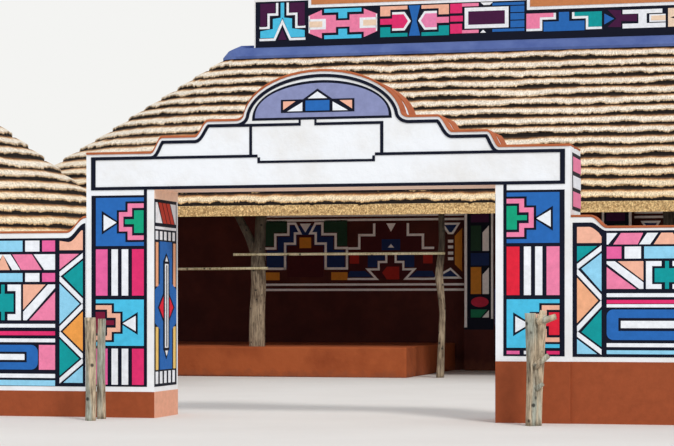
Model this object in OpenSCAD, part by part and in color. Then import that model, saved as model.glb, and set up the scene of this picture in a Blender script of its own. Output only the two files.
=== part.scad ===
// Painted homestead: a stepped gateway in a forecourt wall, two round thatched rondavels
// and a long open thatched hut behind them with a painted wall standing up through its ridge.
// X runs across the gateway, Y from front to back, Z up from the lowest ground. The pieces are
// drawn with Y measured from the front of the gateway and then placed about the middle of the plan.

/* [Gateway] */
// Width of the gateway across both pillars
gate_w = 5262; // [4600:2:6000]
// Width of the way through between the pillars
gate_open_w = 3712; // [3000:2:4000]
// Depth of the gateway from front to back
gate_d = 800; // [650:10:1000]
// Height of the underside of the head over the ground
gate_open_h = 2470; // [2200:10:2600]
// Height of the outer shoulders of the head
gate_shoulder_h = 2845; // [2720:5:2900]
// Rise of each of the two S-shaped steps of the head
gate_step_rise = 165; // [100:5:200]
// Width of the middle arch of the head
gate_arch_w = 1720; // [1400:10:1900]
// Rise of the middle arch of the head
gate_arch_rise = 505; // [350:5:650]
// Thickness of the front leaf of the head
gate_front_leaf = 290; // [200:10:330]
// Width of the groove between the two leaves of the head
gate_groove_w = 130; // [60:10:200]
// Depth of the groove between the two leaves of the head
gate_groove_deep = 110; // [50:5:160]

/* [Forecourt walls] */
// Length of each front wall from its pillar to its corner
front_wall_l = 6120; // [4000:10:7000]
// Thickness of the forecourt walls
wall_t = 300; // [200:10:400]
// Height of the forecourt walls under their coping
wall_h = 2000; // [1700:10:2150]
// Rise of the left wall where it sweeps up to the gate pillar
left_sweep_rise = 160; // [80:5:200]
// Rise of the right wall where it sweeps up to the gate pillar
right_sweep_rise = 115; // [80:5:200]
// How far the front walls stand back from the front of the gateway
wall_setback = 20; // [15:5:100]
// Thickness of the plaster coping on walls and gateway
coping_t = 25; // [20:1:60]
// How far the copings stand out past the faces under them
coping_out = 12; // [5:1:15]

/* [Pole gate posts] */
// Height of the posts of the pole gate
slot_post_h = 1085; // [900:5:1300]
// Height of the pegged post
pegged_post_h = 1160; // [900:5:1300]
// Distance of the front slot post ahead of the gateway
slot_post_out = 620; // [500:10:700]
// Diameter of the slot posts
slot_post_d = 110; // [80:2:130]
// Distance of the slot posts in from the gateway's outer side
slot_post_in = 279; // [200:1:400]
// Distance of the pegged post in from the gateway's outer side
pegged_post_in = 321; // [200:1:400]
// Diameter of the pegged post
pegged_post_d = 170; // [140:5:200]
// Diameter of the pegs
peg_d = 50; // [30:2:60]

/* [Long hut] */
// Distance between the centres of the two round ends
hut_straight_l = 12000; // [11600:20:12400]
// Distance of the ridge behind the front of the gateway
ridge_y = 17200; // [17000:20:18000]
// Distance from the ridge line to the eave
hut_run = 5000; // [4700:10:5100]
// Height of the top of the thatch at the eave
hut_eave_top = 2960; // [2800:10:3200]
// Height of the thatch at the ridge line
hut_ridge_h = 6180; // [5900:10:6500]
// Number of thatch courses from eave to ridge
hut_courses = 16; // [12:1:18]
// Upright thickness of the thatch
thatch_t = 250; // [200:5:300]
// How far each course's butt stands up over the course below
course_step = 45; // [25:1:60]
// Thickness of the wall under and above the ridge
spine_t = 300; // [240:10:360]
// How far the ends of the painted parapet stay back from the ends of the ridge
parapet_back = 300; // [220:10:600]
// Height of the top of the parapet
parapet_top = 7900; // [7500:10:8200]
// Height of the mortar ridge roll against the parapet
ridge_roll_h = 70; // [40:5:240]
// Height of the mortar cap over the ridge past the parapet
ridge_cap_h = 40; // [20:5:100]
// How far the mortar ridge roll reaches down each slope
ridge_roll_w = 200; // [120:5:240]
// Height of the raised floor of the hut
platform_h = 510; // [400:10:600]
// Half width of the level way in between the raised floors
platform_gap = 1770; // [1500:10:1900]
// Width of each painted pier on the wall under the ridge
pier_w = 570; // [400:10:600]
// Distance of each pier's middle from the middle of the hut
pier_x = 1270; // [1000:10:1400]
// How far the piers stand out from the wall
pier_out = 300; // [200:10:450]
// Height of the piers
pier_h = 3300; // [2900:10:3600]

/* [Hut timber] */
// Distance of the posts inside the eave edge
post_inset = 730; // [650:10:850]
// Diameter of a post at the ground
post_d = 220; // [180:5:240]
// Diameter of a post at its top
post_top_d = 170; // [140:5:180]
// Foot diameter of the forked post
fork_post_d = 280; // [220:5:300]
// Foot diameter of the thin post beside the way in
thin_post_d = 125; // [100:5:180]
// Diameter of the eave beams
beam_d = 140; // [100:5:160]
// Diameter of the rafters
rafter_d = 90; // [70:2:100]
// Number of rafters on each long slope
rafter_n = 13; // [9:1:15]
// Number of rafters round each end
end_rafter_n = 9; // [7:2:11]
// Diameter of the stick rails between the posts
rail_d = 45; // [30:1:60]
// Gap left where round timber lies on a piece
seat_gap = 0.3; // [0.2:0.1:0.5]

/* [Rondavels] */
// Distance of each rondavel's centre from the middle
rondavel_x = 8600; // [8500:10:8800]
// Distance of each rondavel's centre behind the front of the gateway
rondavel_y = 8900; // [8700:10:8950]
// Radius of the rondavel's eave
rondavel_eave_r = 3550; // [3300:10:3600]
// Height of the top of the rondavel's thatch at the eave
rondavel_eave_top = 2220; // [2200:5:2800]
// Height of the rondavel's apex
rondavel_apex_h = 4850; // [4500:10:5000]
// Number of thatch courses on a rondavel
rondavel_courses = 14; // [8:1:16]
// Thickness of the thatch of the rondavels
rondavel_thatch_t = 170; // [120:5:220]
// Outer radius of the rondavel's wall
rondavel_wall_r = 2700; // [2500:10:2800]
// Thickness of the rondavel's wall
rondavel_wall_t = 250; // [200:10:300]
// Width of the rondavel's doorway
door_w = 900; // [750:10:1000]
// Height of the rondavel's doorway over the ground
door_h = 2100; // [1900:10:2150]
// Height of the rondavel's floor over the ground
floor_h = 120; // [60:5:200]
// Radius of the mortar cap at the apex
cap_r = 420; // [350:10:520]
// Number of rafters of a rondavel
rondavel_rafter_n = 12; // [8:1:14]

/* [Hidden] */

$fn = 48;
round_fn = 360;
paint_white = "#EEF1F4";
terracotta = "#9A4A26";
coping_brown = "#B5613A";
thatch_straw = "#B98F5C";
old_pole = "#8F8F78";
dark_pole = "#6E4F33";
maroon = "#4A1F1C";
roll_blue = "#5F7FAE";

pillar_w = (gate_w - gate_open_w) / 2;
plan_mid_y = (ridge_y + hut_run - slot_post_out - slot_post_d / 2) / 2;
gate_mid_h = gate_shoulder_h + gate_step_rise;
gate_high_h = gate_mid_h + gate_step_rise;
head_step_1 = 0.72;
head_step_2 = 0.515;
arch_foot = 7.5;
arch_cove = 90;
left_sweep = [left_sweep_rise, 20, 215];
right_sweep = [right_sweep_rise, 205, 165];
wall_corner_x = gate_w / 2 + front_wall_l;

hut_half = hut_straight_l / 2;
hut_slope = (hut_ridge_h - hut_eave_top) / hut_run;
hut_pitch = atan(hut_slope);
thatch_under = hut_eave_top - thatch_t;
post_r_line = hut_run - post_inset;
rafter_drop = rafter_d / cos(hut_pitch);
rafter_low = thatch_under + post_inset * hut_slope - rafter_drop - seat_gap;
beam_axis = rafter_low - (beam_d / 2 + seat_gap) / cos(hut_pitch);
post_top = beam_axis - beam_d / 2;
spine_top = hut_ridge_h - thatch_t - 20;
parapet_l = hut_straight_l - 2 * parapet_back;
wall_end = post_r_line - post_d / 2 - seat_gap;
platform_lip = 200;
platform_edge = post_r_line + post_d / 2 + platform_lip;
front_post_x = [1490 - hut_half, -1240, 2530, hut_half - 100];
fork_h = 2150;
fork_lean = 32;
end_post_turn = 60;
rail_high_h = 2080;
rail_low_h = 1840;
rail_over = 320;
// A rail's short end past a thin post
rail_stub = 80;

rondavel_slope = (rondavel_apex_h - rondavel_eave_top) / rondavel_eave_r;
rondavel_pitch = atan(rondavel_slope);
rondavel_under = rondavel_eave_top - rondavel_thatch_t;
pole_d = 80;
plate_h = 50;
plate_inset = 40;
plate_r = rondavel_wall_r - plate_inset;
pole_drop = pole_d / cos(rondavel_pitch) + 2 * seat_gap;
plate_top = rondavel_under + (rondavel_eave_r - plate_r) * rondavel_slope - pole_drop;
rondavel_wall_h = plate_top - plate_h;

// Points of a smooth S-shaped step from (x0, z0) to (x1, z1), without its first point
function s_step(x0, z0, x1, z1, n = 8) =
    [for (i = [1 : n]) [x0 + (x1 - x0) * i / n, z0 + (z1 - z0) * (1 - cos(180 * i / n)) / 2]];

// Right half of the stepped top of the gateway, from the outer corner to the middle, raised by up
function head_half(up) = concat(
    [[gate_w / 2, gate_shoulder_h + up], [gate_w / 2 * head_step_1, gate_shoulder_h + up]],
    s_step(gate_w / 2 * head_step_1, gate_shoulder_h + up,
        gate_w / 2 * head_step_1 - 125, gate_mid_h + up),
    [[gate_w / 2 * head_step_2 + 45, gate_mid_h + up]],
    s_step(gate_w / 2 * head_step_2 + 45, gate_mid_h + up,
        gate_w / 2 * head_step_2 - 105, gate_high_h + up),
    [for (a = [90 : -15 : 15]) [gate_arch_w / 2 * cos(arch_foot) + arch_cove * (1 - cos(a)),
        gate_high_h + up + gate_arch_rise * sin(arch_foot) * (1 - sin(a))]],
    [for (a = [arch_foot : 7.5 : 90])
        [gate_arch_w / 2 * cos(a), gate_high_h + up + gate_arch_rise * sin(a)]]);

// The whole stepped top from right to left
function head_top(up) = concat(head_half(up),
    [for (i = [len(head_half(up)) - 2 : -1 : 0]) [-head_half(up)[i][0], head_half(up)[i][1]]]);

// Reverse of a list
function backwards(list) = [for (i = [len(list) - 1 : -1 : 0]) list[i]];

// Top line of a front wall from the pillar to the corner, raised by up; a sweep is its rise,
// where it starts to fall and over what length
function wall_top(sweep, up) = concat(
    [[gate_w / 2, wall_h + sweep[0] + up], [gate_w / 2 + sweep[1], wall_h + sweep[0] + up]],
    s_step(gate_w / 2 + sweep[1], wall_h + sweep[0] + up,
        gate_w / 2 + sweep[1] + sweep[2], wall_h + up),
    [[wall_corner_x, wall_h + up]]);

// Brings the middle of the whole plan to the origin
module placed() {
    translate([0, -plan_mid_y, 0]) children();
}

// Extrudes an outline drawn in X and Z along Y, from y0 over a depth of d
module along_y(y0, d) {
    translate([0, y0 + d, 0]) rotate([90, 0, 0]) linear_extrude(d) children();
}

// Puts a piece of the right-hand side on the side given, -1 for left and 1 for right
module on_side(side) {
    if (side > 0) children();
    else mirror([1, 0, 0]) children();
}

// Stepped outline of a thatched slope: distance from the ridge line and height.
// Each course is a straight stretch that ends in an upright butt over the next one.
function course_points(run, eave_top, ridge, n) =
    [for (i = [0 : n - 1], k = [0, 1])
        let (r = run * (1 - (i + k) / n), slope = (ridge - eave_top) / run)
        [r, eave_top + (run - r) * slope - (k == 1 ? course_step : 0)]];

// Side view of a thatched slope from run out at the eave in to the distance inner
module thatch_outline(run, eave_top, ridge, n, inner, t = thatch_t) {
    slope = (ridge - eave_top) / run;
    intersection() {
        polygon(concat([[run, eave_top - t]], course_points(run, eave_top, ridge, n),
            [[0, ridge - t]]));
        translate([inner, 0]) square([run, ridge * 2]);
    }
}

// A round pole between two points
module pole(a, b, d1, d2) {
    v = b - a;
    len_v = norm(v);
    translate(a) rotate([0, acos(v[2] / len_v), atan2(v[1], v[0])])
        cylinder(h = len_v, r1 = d1 / 2, r2 = d2 / 2);
}

// Gateway pillar of solid plastered masonry
module gate_pillar(side) {
    color(paint_white) on_side(side) translate([gate_open_w / 2, 0, 0])
        cube([pillar_w, gate_d, gate_open_h]);
}

// Head of the gateway: beam, two stepped leaves and the groove between them
module gate_head() {
    base = concat([[gate_w / 2, gate_open_h]], head_top(0), [[-gate_w / 2, gate_open_h]]);
    low = concat([[gate_w / 2, gate_open_h]], head_top(-gate_groove_deep),
        [[-gate_w / 2, gate_open_h]]);
    rear = gate_front_leaf + gate_groove_w;
    color(paint_white) {
        along_y(0, gate_front_leaf) polygon(base);
        along_y(gate_front_leaf, gate_groove_w) polygon(low);
        along_y(rear, gate_d - rear) polygon(base);
    }
}

// Rounded plaster copings that follow the stepped top of each leaf
module gate_coping() {
    rear = gate_front_leaf + gate_groove_w;
    line = concat(head_top(coping_t), backwards(head_top(0)));
    color(coping_brown) {
        along_y(-coping_out, gate_front_leaf + coping_out) polygon(line);
        along_y(rear, gate_d - rear + coping_out) polygon(line);
    }
}

// Front forecourt wall that sweeps up to the gate pillar
module front_wall(side) {
    color(paint_white) on_side(side) along_y(wall_setback, wall_t)
        polygon(concat([[gate_w / 2, 0]], wall_top(side < 0 ? left_sweep : right_sweep, 0),
            [[wall_corner_x, 0]]));
}

// Side forecourt wall from the corner back to the rondavel
module side_wall(side) {
    start = wall_setback + wall_t;
    color(paint_white) on_side(side) difference() {
        translate([wall_corner_x - wall_t, start, 0])
            cube([wall_t, rondavel_y - start, wall_h]);
        translate([rondavel_x, rondavel_y, -1])
            cylinder(h = wall_h + 2, r = rondavel_wall_r, $fn = round_fn);
    }
}

// Coping of a front wall and its side wall
module wall_coping(side) {
    start = wall_setback + wall_t;
    sweep = side < 0 ? left_sweep : right_sweep;
    color(coping_brown) on_side(side) {
        along_y(wall_setback - coping_out, wall_t + 2 * coping_out)
            polygon(concat(wall_top(sweep, coping_t), [[wall_corner_x + coping_out, wall_h + coping_t],
                [wall_corner_x + coping_out, wall_h]], backwards(wall_top(sweep, 0))));
        difference() {
            translate([wall_corner_x - wall_t - coping_out, start, wall_h])
                cube([wall_t + 2 * coping_out, rondavel_y - start, coping_t]);
            translate([rondavel_x, rondavel_y, wall_h - 1])
                cylinder(h = coping_t + 2, r = rondavel_wall_r, $fn = round_fn);
        }
    }
}

// Pair of weathered poles that hold the ends of the gate poles
module slot_posts_left() {
    color(old_pole) {
        translate([slot_post_in - gate_w / 2, -slot_post_out, 0]) cylinder(h = slot_post_h, d = slot_post_d);
        translate([slot_post_in + 6 - gate_w / 2, -slot_post_out + 340, 0])
            cylinder(h = slot_post_h - 15, d = slot_post_d * 0.82);
    }
}

// Notched tree trunk post with three pegs
module pegged_post_right() {
    color(old_pole) translate([gate_w / 2 - pegged_post_in, -450, 0]) {
        difference() {
            cylinder(h = pegged_post_h, d = pegged_post_d);
            translate([0, 0, pegged_post_h]) rotate([0, 45, 0])
                cube([pegged_post_d * 0.5, pegged_post_d * 2, pegged_post_d * 0.5], center = true);
        }
        for (z = [400, 670, 1040])
            translate([0, 0, z]) rotate([0, 62, -12]) cylinder(h = 190, d = peg_d);
    }
}

// Plan of the long hut inside the line that lies r from the ridge
module stadium(r) {
    square([hut_straight_l, 2 * r], center = true);
    for (s = [-1, 1]) translate([s * hut_half, 0]) circle(r = r, $fn = round_fn);
}

// Raised floor on one side of the level way in, with the wall between its two halves
module platform(side) {
    color(terracotta) on_side(side) translate([0, ridge_y, 0]) linear_extrude(platform_h)
        difference() {
            intersection() {
                stadium(platform_edge);
                translate([platform_gap, -platform_edge]) square([hut_half + hut_run, 2 * platform_edge]);
            }
            square([2 * (hut_half + wall_end), spine_t], center = true);
        }
}

// Height of the underside of the rafters at a distance from the ridge line
function rafter_low_at(r) = hut_ridge_h - thatch_t - r * hut_slope - rafter_drop - 2 * seat_gap;

// Masonry wall under the ridge, which slopes down under the rafters to the post at each round end
module spine_wall() {
    half = [[hut_half, spine_top], [hut_half, rafter_low_at(0) - spine_t / 8],
        [hut_half + wall_end, rafter_low_at(wall_end) - spine_t / 8], [hut_half + wall_end, 0]];
    color(maroon) translate([0, ridge_y, 0]) along_y(-spine_t / 2, spine_t)
        polygon(concat(half, [for (p = backwards(half)) [-p[0], p[1]]]));
}

// Painted parapet that stands up through the ridge
module ridge_parapet() {
    color(paint_white) translate([-parapet_l / 2, ridge_y - spine_t / 2, spine_top])
        cube([parapet_l, spine_t, parapet_top - spine_top]);
}

// Height of the thatch surface at a distance from the ridge line, taken at the course tops
function thatch_at(r) = hut_ridge_h - r * hut_slope;

// Mortar roll that seals the thatch against both sides and ends of the parapet
module ridge_roll() {
    out = spine_t / 2;
    half = [[0, thatch_at(0) - 60], [0, hut_ridge_h + ridge_cap_h], [out, thatch_at(out) + ridge_roll_h],
        [out + ridge_roll_w * 0.45, thatch_at(out) + ridge_roll_h - 45],
        [out + ridge_roll_w, thatch_at(out + ridge_roll_w) + 20],
        [out + ridge_roll_w, thatch_at(out + ridge_roll_w) - 30]];
    color(roll_blue) difference() {
        union() {
            translate([0, ridge_y, 0]) rotate([90, 0, 90])
                translate([0, 0, -hut_half]) linear_extrude(hut_straight_l)
                    polygon(concat(half, [for (i = [len(half) - 1 : -1 : 2]) [-half[i][0], half[i][1]]]));
            for (s = [-1, 1]) translate([s * hut_half, ridge_y, 0]) rotate_extrude() polygon(half);
        }
        thatch_body();
        translate([-parapet_l / 2, ridge_y - spine_t / 2, 0])
            cube([parapet_l, spine_t, parapet_top]);
    }
}

// Painted piers on both sides of the middle of the wall, front and rear
module middle_piers() {
    color(maroon) for (side = [-1, 1], s = [-1, 1])
        translate([side * pier_x - pier_w / 2,
                s > 0 ? ridge_y + spine_t / 2 : ridge_y - spine_t / 2 - pier_out, 0])
            cube([pier_w, pier_out, pier_h]);
}

// Radius at a height of a post with a foot diameter
function post_radius_at(z, d = post_d) = (d + (min(post_top_d, d) - d) * z / post_top) / 2;

// Height that a post stands on: the raised floor, or the ground of the way in
function foot_at(x) = abs(x) > platform_gap ? platform_h + seat_gap : 0;

// One tree trunk post with its foot at a height
module trunk_post(x, y, foot, d = post_d) {
    translate([x, y, foot])
        cylinder(h = post_top - foot, r1 = post_radius_at(foot, d), r2 = post_radius_at(post_top, d));
}

// Tree trunk post with a fork: one limb goes on up to the beam and one leans out to the left
module forked_post(x, y) {
    trunk_post(x, y, foot_at(x), fork_post_d);
    reach = post_top - fork_h - post_top_d * 0.4;
    translate([x, y, fork_h]) rotate([0, -fork_lean, 0])
        cylinder(h = reach / cos(fork_lean), d = post_top_d * 0.8);
}

// Row of posts along the front eave
module veranda_posts_front() {
    color(dark_pole) {
        forked_post(front_post_x[0], ridge_y - post_r_line);
        trunk_post(front_post_x[1], ridge_y - post_r_line, foot_at(front_post_x[1]), thin_post_d);
        for (x = [front_post_x[2], front_post_x[3]])
            trunk_post(x, ridge_y - post_r_line, foot_at(x));
    }
}

// Row of posts along the rear eave
module veranda_posts_rear() {
    color(dark_pole) for (x = front_post_x) trunk_post(x, ridge_y + post_r_line, foot_at(x));
}

// Posts round the two half-round ends
module end_posts() {
    color(dark_pole) for (s = [-1, 1], a = [-end_post_turn, 0, end_post_turn])
        translate([s * hut_half, ridge_y, 0]) rotate([0, 0, s > 0 ? a : 180 + a])
            trunk_post(post_r_line, 0, foot_at(hut_half));
}

// Straight eave beams on the posts, front and rear
module eave_beams() {
    color(dark_pole) for (s = [-1, 1])
        translate([-hut_half, ridge_y + s * post_r_line, beam_axis]) rotate([0, 90, 0])
            cylinder(h = hut_straight_l, d = beam_d);
}

// Curved eave beams round the two ends
module end_eave_beams() {
    color(dark_pole) for (s = [-1, 1])
        translate([s * hut_half, ridge_y, beam_axis]) rotate([0, 0, s > 0 ? -90 : 90])
            rotate_extrude(angle = 180, $fn = round_fn) translate([post_r_line, 0]) circle(d = beam_d);
}

// Sloping pole under the thatch in the plane of the given direction, drawn towards +X
module rafter(inner, outer, run, under, slope, d) {
    drop = d / 2 / cos(atan(slope)) + seat_gap;
    pole([outer, 0, under + (run - outer) * slope - drop],
        [inner, 0, under + (run - inner) * slope - drop], d, d);
}

// Rafters of one long slope, side -1 for the front and 1 for the rear
module slope_rafters(side) {
    color(dark_pole) for (i = [0 : rafter_n - 1])
        translate([-hut_half + 150 + i * (hut_straight_l - 300) / (rafter_n - 1), ridge_y, 0])
            rotate([0, 0, side * 90])
                rafter(spine_t / 2 + rafter_d / 2 * sin(hut_pitch) + seat_gap, hut_run - 150, hut_run,
                    thatch_under, hut_slope, rafter_d);
}

// Rafters of the front slope
module rafters_front() { slope_rafters(-1); }

// Rafters of the rear slope
module rafters_rear() { slope_rafters(1); }

// Rafters that fan out round both ends
module end_rafters() {
    color(dark_pole) for (s = [-1, 1], i = [0 : end_rafter_n - 1])
        translate([s * hut_half, ridge_y, 0])
            rotate([0, 0, (s > 0 ? 0 : 180) - 80 + i * 160 / (end_rafter_n - 1)])
                rafter(330, hut_run - 150, hut_run, thatch_under, hut_slope, rafter_d);
}

// Stick tied across the front of two posts of the hut at a height, a and b being their places and
// a_d and b_d their foot diameters
module rail(a, a_d, b, b_d, z, stub = rail_over) {
    way = (b - a) / norm(b - a);
    out = [way[1], -way[0]];
    tie_a = a + out * (post_radius_at(z, a_d) + rail_d / 2 + seat_gap);
    tie_b = b + out * (post_radius_at(z, b_d) + rail_d / 2 + seat_gap);
    run = (tie_b - tie_a) / norm(tie_b - tie_a);
    start = tie_a - run * rail_over;
    finish = tie_b + run * stub;
    pole([start[0], start[1], z], [finish[0], finish[1], z], rail_d, rail_d);
}

// Stick rails on the left-hand front posts
module display_rails() {
    first = [front_post_x[0], ridge_y - post_r_line];
    second = [front_post_x[1], ridge_y - post_r_line];
    last = [-hut_half - post_r_line * cos(end_post_turn), ridge_y - post_r_line * sin(end_post_turn)];
    color(old_pole) {
        rail(first, fork_post_d, second, thin_post_d, rail_high_h, rail_stub);
        rail(last, post_d, first, fork_post_d, rail_low_h);
    }
}

// Thatch of the whole roof of the long hut as one shape; inner is how far it stays off the ridge line
module thatch_body() {
    for (s = [-1, 1]) translate([0, ridge_y, 0]) rotate([90, 0, 90])
        translate([0, 0, -hut_half]) linear_extrude(hut_straight_l)
            mirror([s > 0 ? 0 : 1, 0])
                thatch_outline(hut_run, hut_eave_top, hut_ridge_h, hut_courses, 0);
    for (s = [-1, 1]) translate([s * hut_half, ridge_y, 0]) rotate([0, 0, s > 0 ? -90 : 90])
        rotate_extrude(angle = 180, $fn = round_fn)
            thatch_outline(hut_run, hut_eave_top, hut_ridge_h, hut_courses, 0);
}

// Thatch of one long slope, side -1 for the front and 1 for the rear
module thatch_slope(side) {
    color(thatch_straw) translate([0, ridge_y, 0]) rotate([90, 0, 90])
        translate([0, 0, -hut_half]) linear_extrude(hut_straight_l)
            mirror([side > 0 ? 0 : 1, 0])
                thatch_outline(hut_run, hut_eave_top, hut_ridge_h, hut_courses, spine_t / 2);
}

// Thatch of the front slope
module thatch_front() { thatch_slope(-1); }

// Thatch of the rear slope
module thatch_rear() { thatch_slope(1); }

// Thatch of one half-round end
module thatch_end(side) {
    color(thatch_straw) translate([side * hut_half, ridge_y, 0])
        rotate([0, 0, side > 0 ? -90 : 90]) rotate_extrude(angle = 180, $fn = round_fn)
            thatch_outline(hut_run, hut_eave_top, hut_ridge_h, hut_courses, 0);
}

// Half of a rondavel's round wall, before or behind its doorway; half is -1 for front, 1 for back
module rondavel_wall(side, half) {
    color(terracotta) on_side(side) translate([rondavel_x, rondavel_y, 0])
        linear_extrude(rondavel_wall_h) difference() {
            circle(r = rondavel_wall_r, $fn = round_fn);
            circle(r = rondavel_wall_r - rondavel_wall_t, $fn = round_fn);
            translate([-rondavel_wall_r - 1, half > 0 ? -rondavel_wall_r - 1 : 0])
                square([2 * rondavel_wall_r + 2, rondavel_wall_r + 1]);
            translate([-rondavel_wall_r - 1, -door_w / 2]) square([rondavel_wall_r, door_w]);
        }
}

// Wall over a rondavel's doorway, which faces the court
module rondavel_lintel(side) {
    color(terracotta) on_side(side) translate([rondavel_x, rondavel_y, door_h])
        linear_extrude(rondavel_wall_h - door_h) intersection() {
            difference() {
                circle(r = rondavel_wall_r, $fn = round_fn);
                circle(r = rondavel_wall_r - rondavel_wall_t, $fn = round_fn);
            }
            translate([-rondavel_wall_r - 1, -door_w / 2]) square([rondavel_wall_r, door_w]);
        }
}

// Smoothed earth floor inside a rondavel, out to the face of its wall in the doorway
module rondavel_floor(side) {
    color(terracotta) on_side(side) translate([rondavel_x, rondavel_y, 0])
        linear_extrude(floor_h) {
            circle(r = rondavel_wall_r - rondavel_wall_t, $fn = round_fn);
            intersection() {
                circle(r = rondavel_wall_r, $fn = round_fn);
                translate([-rondavel_wall_r, -door_w / 2]) square([rondavel_wall_r, door_w]);
            }
        }
}

// Ring on the wall head with the rafters that rise from it to the apex
module rondavel_roof_frame(side) {
    color(dark_pole) on_side(side) translate([rondavel_x, rondavel_y, 0]) {
        translate([0, 0, rondavel_wall_h]) difference() {
            cylinder(h = plate_h, r = plate_r, $fn = round_fn);
            translate([0, 0, -1]) cylinder(h = plate_h + 2,
                r = rondavel_wall_r - rondavel_wall_t + plate_inset, $fn = round_fn);
        }
        for (i = [0 : rondavel_rafter_n - 1]) rotate([0, 0, (i + 0.5) * 360 / rondavel_rafter_n])
            rafter(300, rondavel_eave_r - 120, rondavel_eave_r, rondavel_under, rondavel_slope,
                pole_d);
    }
}

// Conical thatch of a rondavel
module rondavel_thatch(side) {
    color(thatch_straw) on_side(side) translate([rondavel_x, rondavel_y, 0])
        rotate_extrude($fn = round_fn)
            thatch_outline(rondavel_eave_r, rondavel_eave_top, rondavel_apex_h, rondavel_courses, 0,
                rondavel_thatch_t);
}

// Mortar caps over the apex of each rondavel
module rondavel_caps() {
    top = rondavel_apex_h;
    edge = top - cap_r * rondavel_slope;
    color(coping_brown) for (side = [-1, 1]) translate([side * rondavel_x, rondavel_y, 0])
        difference() {
            rotate_extrude() polygon([[0, edge], [0, top + 110], [90, top + 80],
                [cap_r * 0.55, top - cap_r * 0.55 * rondavel_slope + 55], [cap_r, edge + 20],
                [cap_r, edge - 60], [cap_r - 60, edge - 60]]);
            rotate_extrude($fn = round_fn) thatch_outline(rondavel_eave_r, rondavel_eave_top,
                rondavel_apex_h, rondavel_courses, 0, rondavel_thatch_t);
            translate([0, 0, -1]) cylinder(h = edge - 80, r = cap_r + 10);
        }
}

placed() gate_pillar(-1);  // gate_pillar_left
placed() gate_pillar(1);  // gate_pillar_right
placed() gate_head();
placed() gate_coping();
placed() front_wall(-1);  // front_wall_left
placed() front_wall(1);  // front_wall_right
placed() side_wall(-1);  // side_wall_left
placed() side_wall(1);  // side_wall_right
placed() wall_coping(-1);  // wall_coping_left
placed() wall_coping(1);  // wall_coping_right
placed() slot_posts_left();
placed() pegged_post_right();
placed() platform(-1);  // platform_left
placed() platform(1);  // platform_right
placed() spine_wall();
placed() ridge_parapet();
placed() ridge_roll();
placed() middle_piers();
placed() veranda_posts_front();
placed() veranda_posts_rear();
placed() end_posts();
placed() eave_beams();
placed() end_eave_beams();
placed() rafters_front();
placed() rafters_rear();
placed() end_rafters();
placed() display_rails();
placed() thatch_front();
placed() thatch_rear();
placed() thatch_end(-1);  // thatch_left_end
placed() thatch_end(1);  // thatch_right_end
placed() rondavel_wall(-1, -1);  // rondavel_wall_left_front
placed() rondavel_wall(-1, 1);  // rondavel_wall_left_back
placed() rondavel_lintel(-1);  // rondavel_lintel_left
placed() rondavel_floor(-1);  // rondavel_floor_left
placed() rondavel_roof_frame(-1);  // rondavel_roof_frame_left
placed() rondavel_thatch(-1);  // rondavel_thatch_left
placed() rondavel_wall(1, -1);  // rondavel_wall_right_front
placed() rondavel_wall(1, 1);  // rondavel_wall_right_back
placed() rondavel_lintel(1);  // rondavel_lintel_right
placed() rondavel_floor(1);  // rondavel_floor_right
placed() rondavel_roof_frame(1);  // rondavel_roof_frame_right
placed() rondavel_thatch(1);  // rondavel_thatch_right
placed() rondavel_caps();
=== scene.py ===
import functools
import math

import bpy
import numpy as np
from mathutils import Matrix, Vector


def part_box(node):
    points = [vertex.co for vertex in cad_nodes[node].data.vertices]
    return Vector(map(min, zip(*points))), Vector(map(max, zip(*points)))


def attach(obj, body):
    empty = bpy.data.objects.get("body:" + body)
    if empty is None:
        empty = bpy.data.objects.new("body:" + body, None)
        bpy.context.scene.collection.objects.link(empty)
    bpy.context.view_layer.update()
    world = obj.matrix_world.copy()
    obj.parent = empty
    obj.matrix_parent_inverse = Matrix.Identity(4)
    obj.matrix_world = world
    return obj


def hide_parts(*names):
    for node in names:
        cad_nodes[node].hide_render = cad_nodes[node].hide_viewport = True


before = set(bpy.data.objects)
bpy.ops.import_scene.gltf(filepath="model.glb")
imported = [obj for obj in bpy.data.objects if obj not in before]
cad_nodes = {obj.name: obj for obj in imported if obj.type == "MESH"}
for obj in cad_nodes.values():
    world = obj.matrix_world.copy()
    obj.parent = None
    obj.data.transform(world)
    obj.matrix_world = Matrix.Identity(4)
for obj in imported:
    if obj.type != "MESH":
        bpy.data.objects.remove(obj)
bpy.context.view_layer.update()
scene = bpy.context.scene
scene.view_settings.view_transform = "Standard"

# Camera, ground and daylight.
# The camera stands on the road in front of the gateway at a person's chest height, to the right
# of its middle, with a long lens; the ground is a pale floor and the light is a soft clear sky.
# CAMERA_PLACE's second number is measured from the front of the gateway.
gate_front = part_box("gate_pillar_left")[0].y
CAMERA_PLACE = (5.41, -21.128, 1.216)
CAMERA_TURN = math.radians(13.93)
CAMERA_LENS = 110.5
CAMERA_RISE = 0.1217
eye = bpy.data.cameras.new("eye")
eye.lens = CAMERA_LENS
eye.sensor_width = 36.0
eye.shift_y = CAMERA_RISE
eye.clip_end = 500.0
eye_object = bpy.data.objects.new("eye", eye)
eye_object.location = (CAMERA_PLACE[0], CAMERA_PLACE[1] + gate_front, CAMERA_PLACE[2])
eye_object.rotation_euler = (math.radians(90), 0, CAMERA_TURN)
scene.collection.objects.link(eye_object)
scene.camera = eye_object


def linear(code):
    """An sRGB hex colour as linear red, green, blue and 1."""
    s = np.array([int(code[i:i + 2], 16) for i in (1, 3, 5)]) / 255.0
    s = np.where(s <= 0.04045, s / 12.92, ((s + 0.055) / 1.055) ** 2.4)
    return (*[float(v) for v in s], 1.0)


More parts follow.
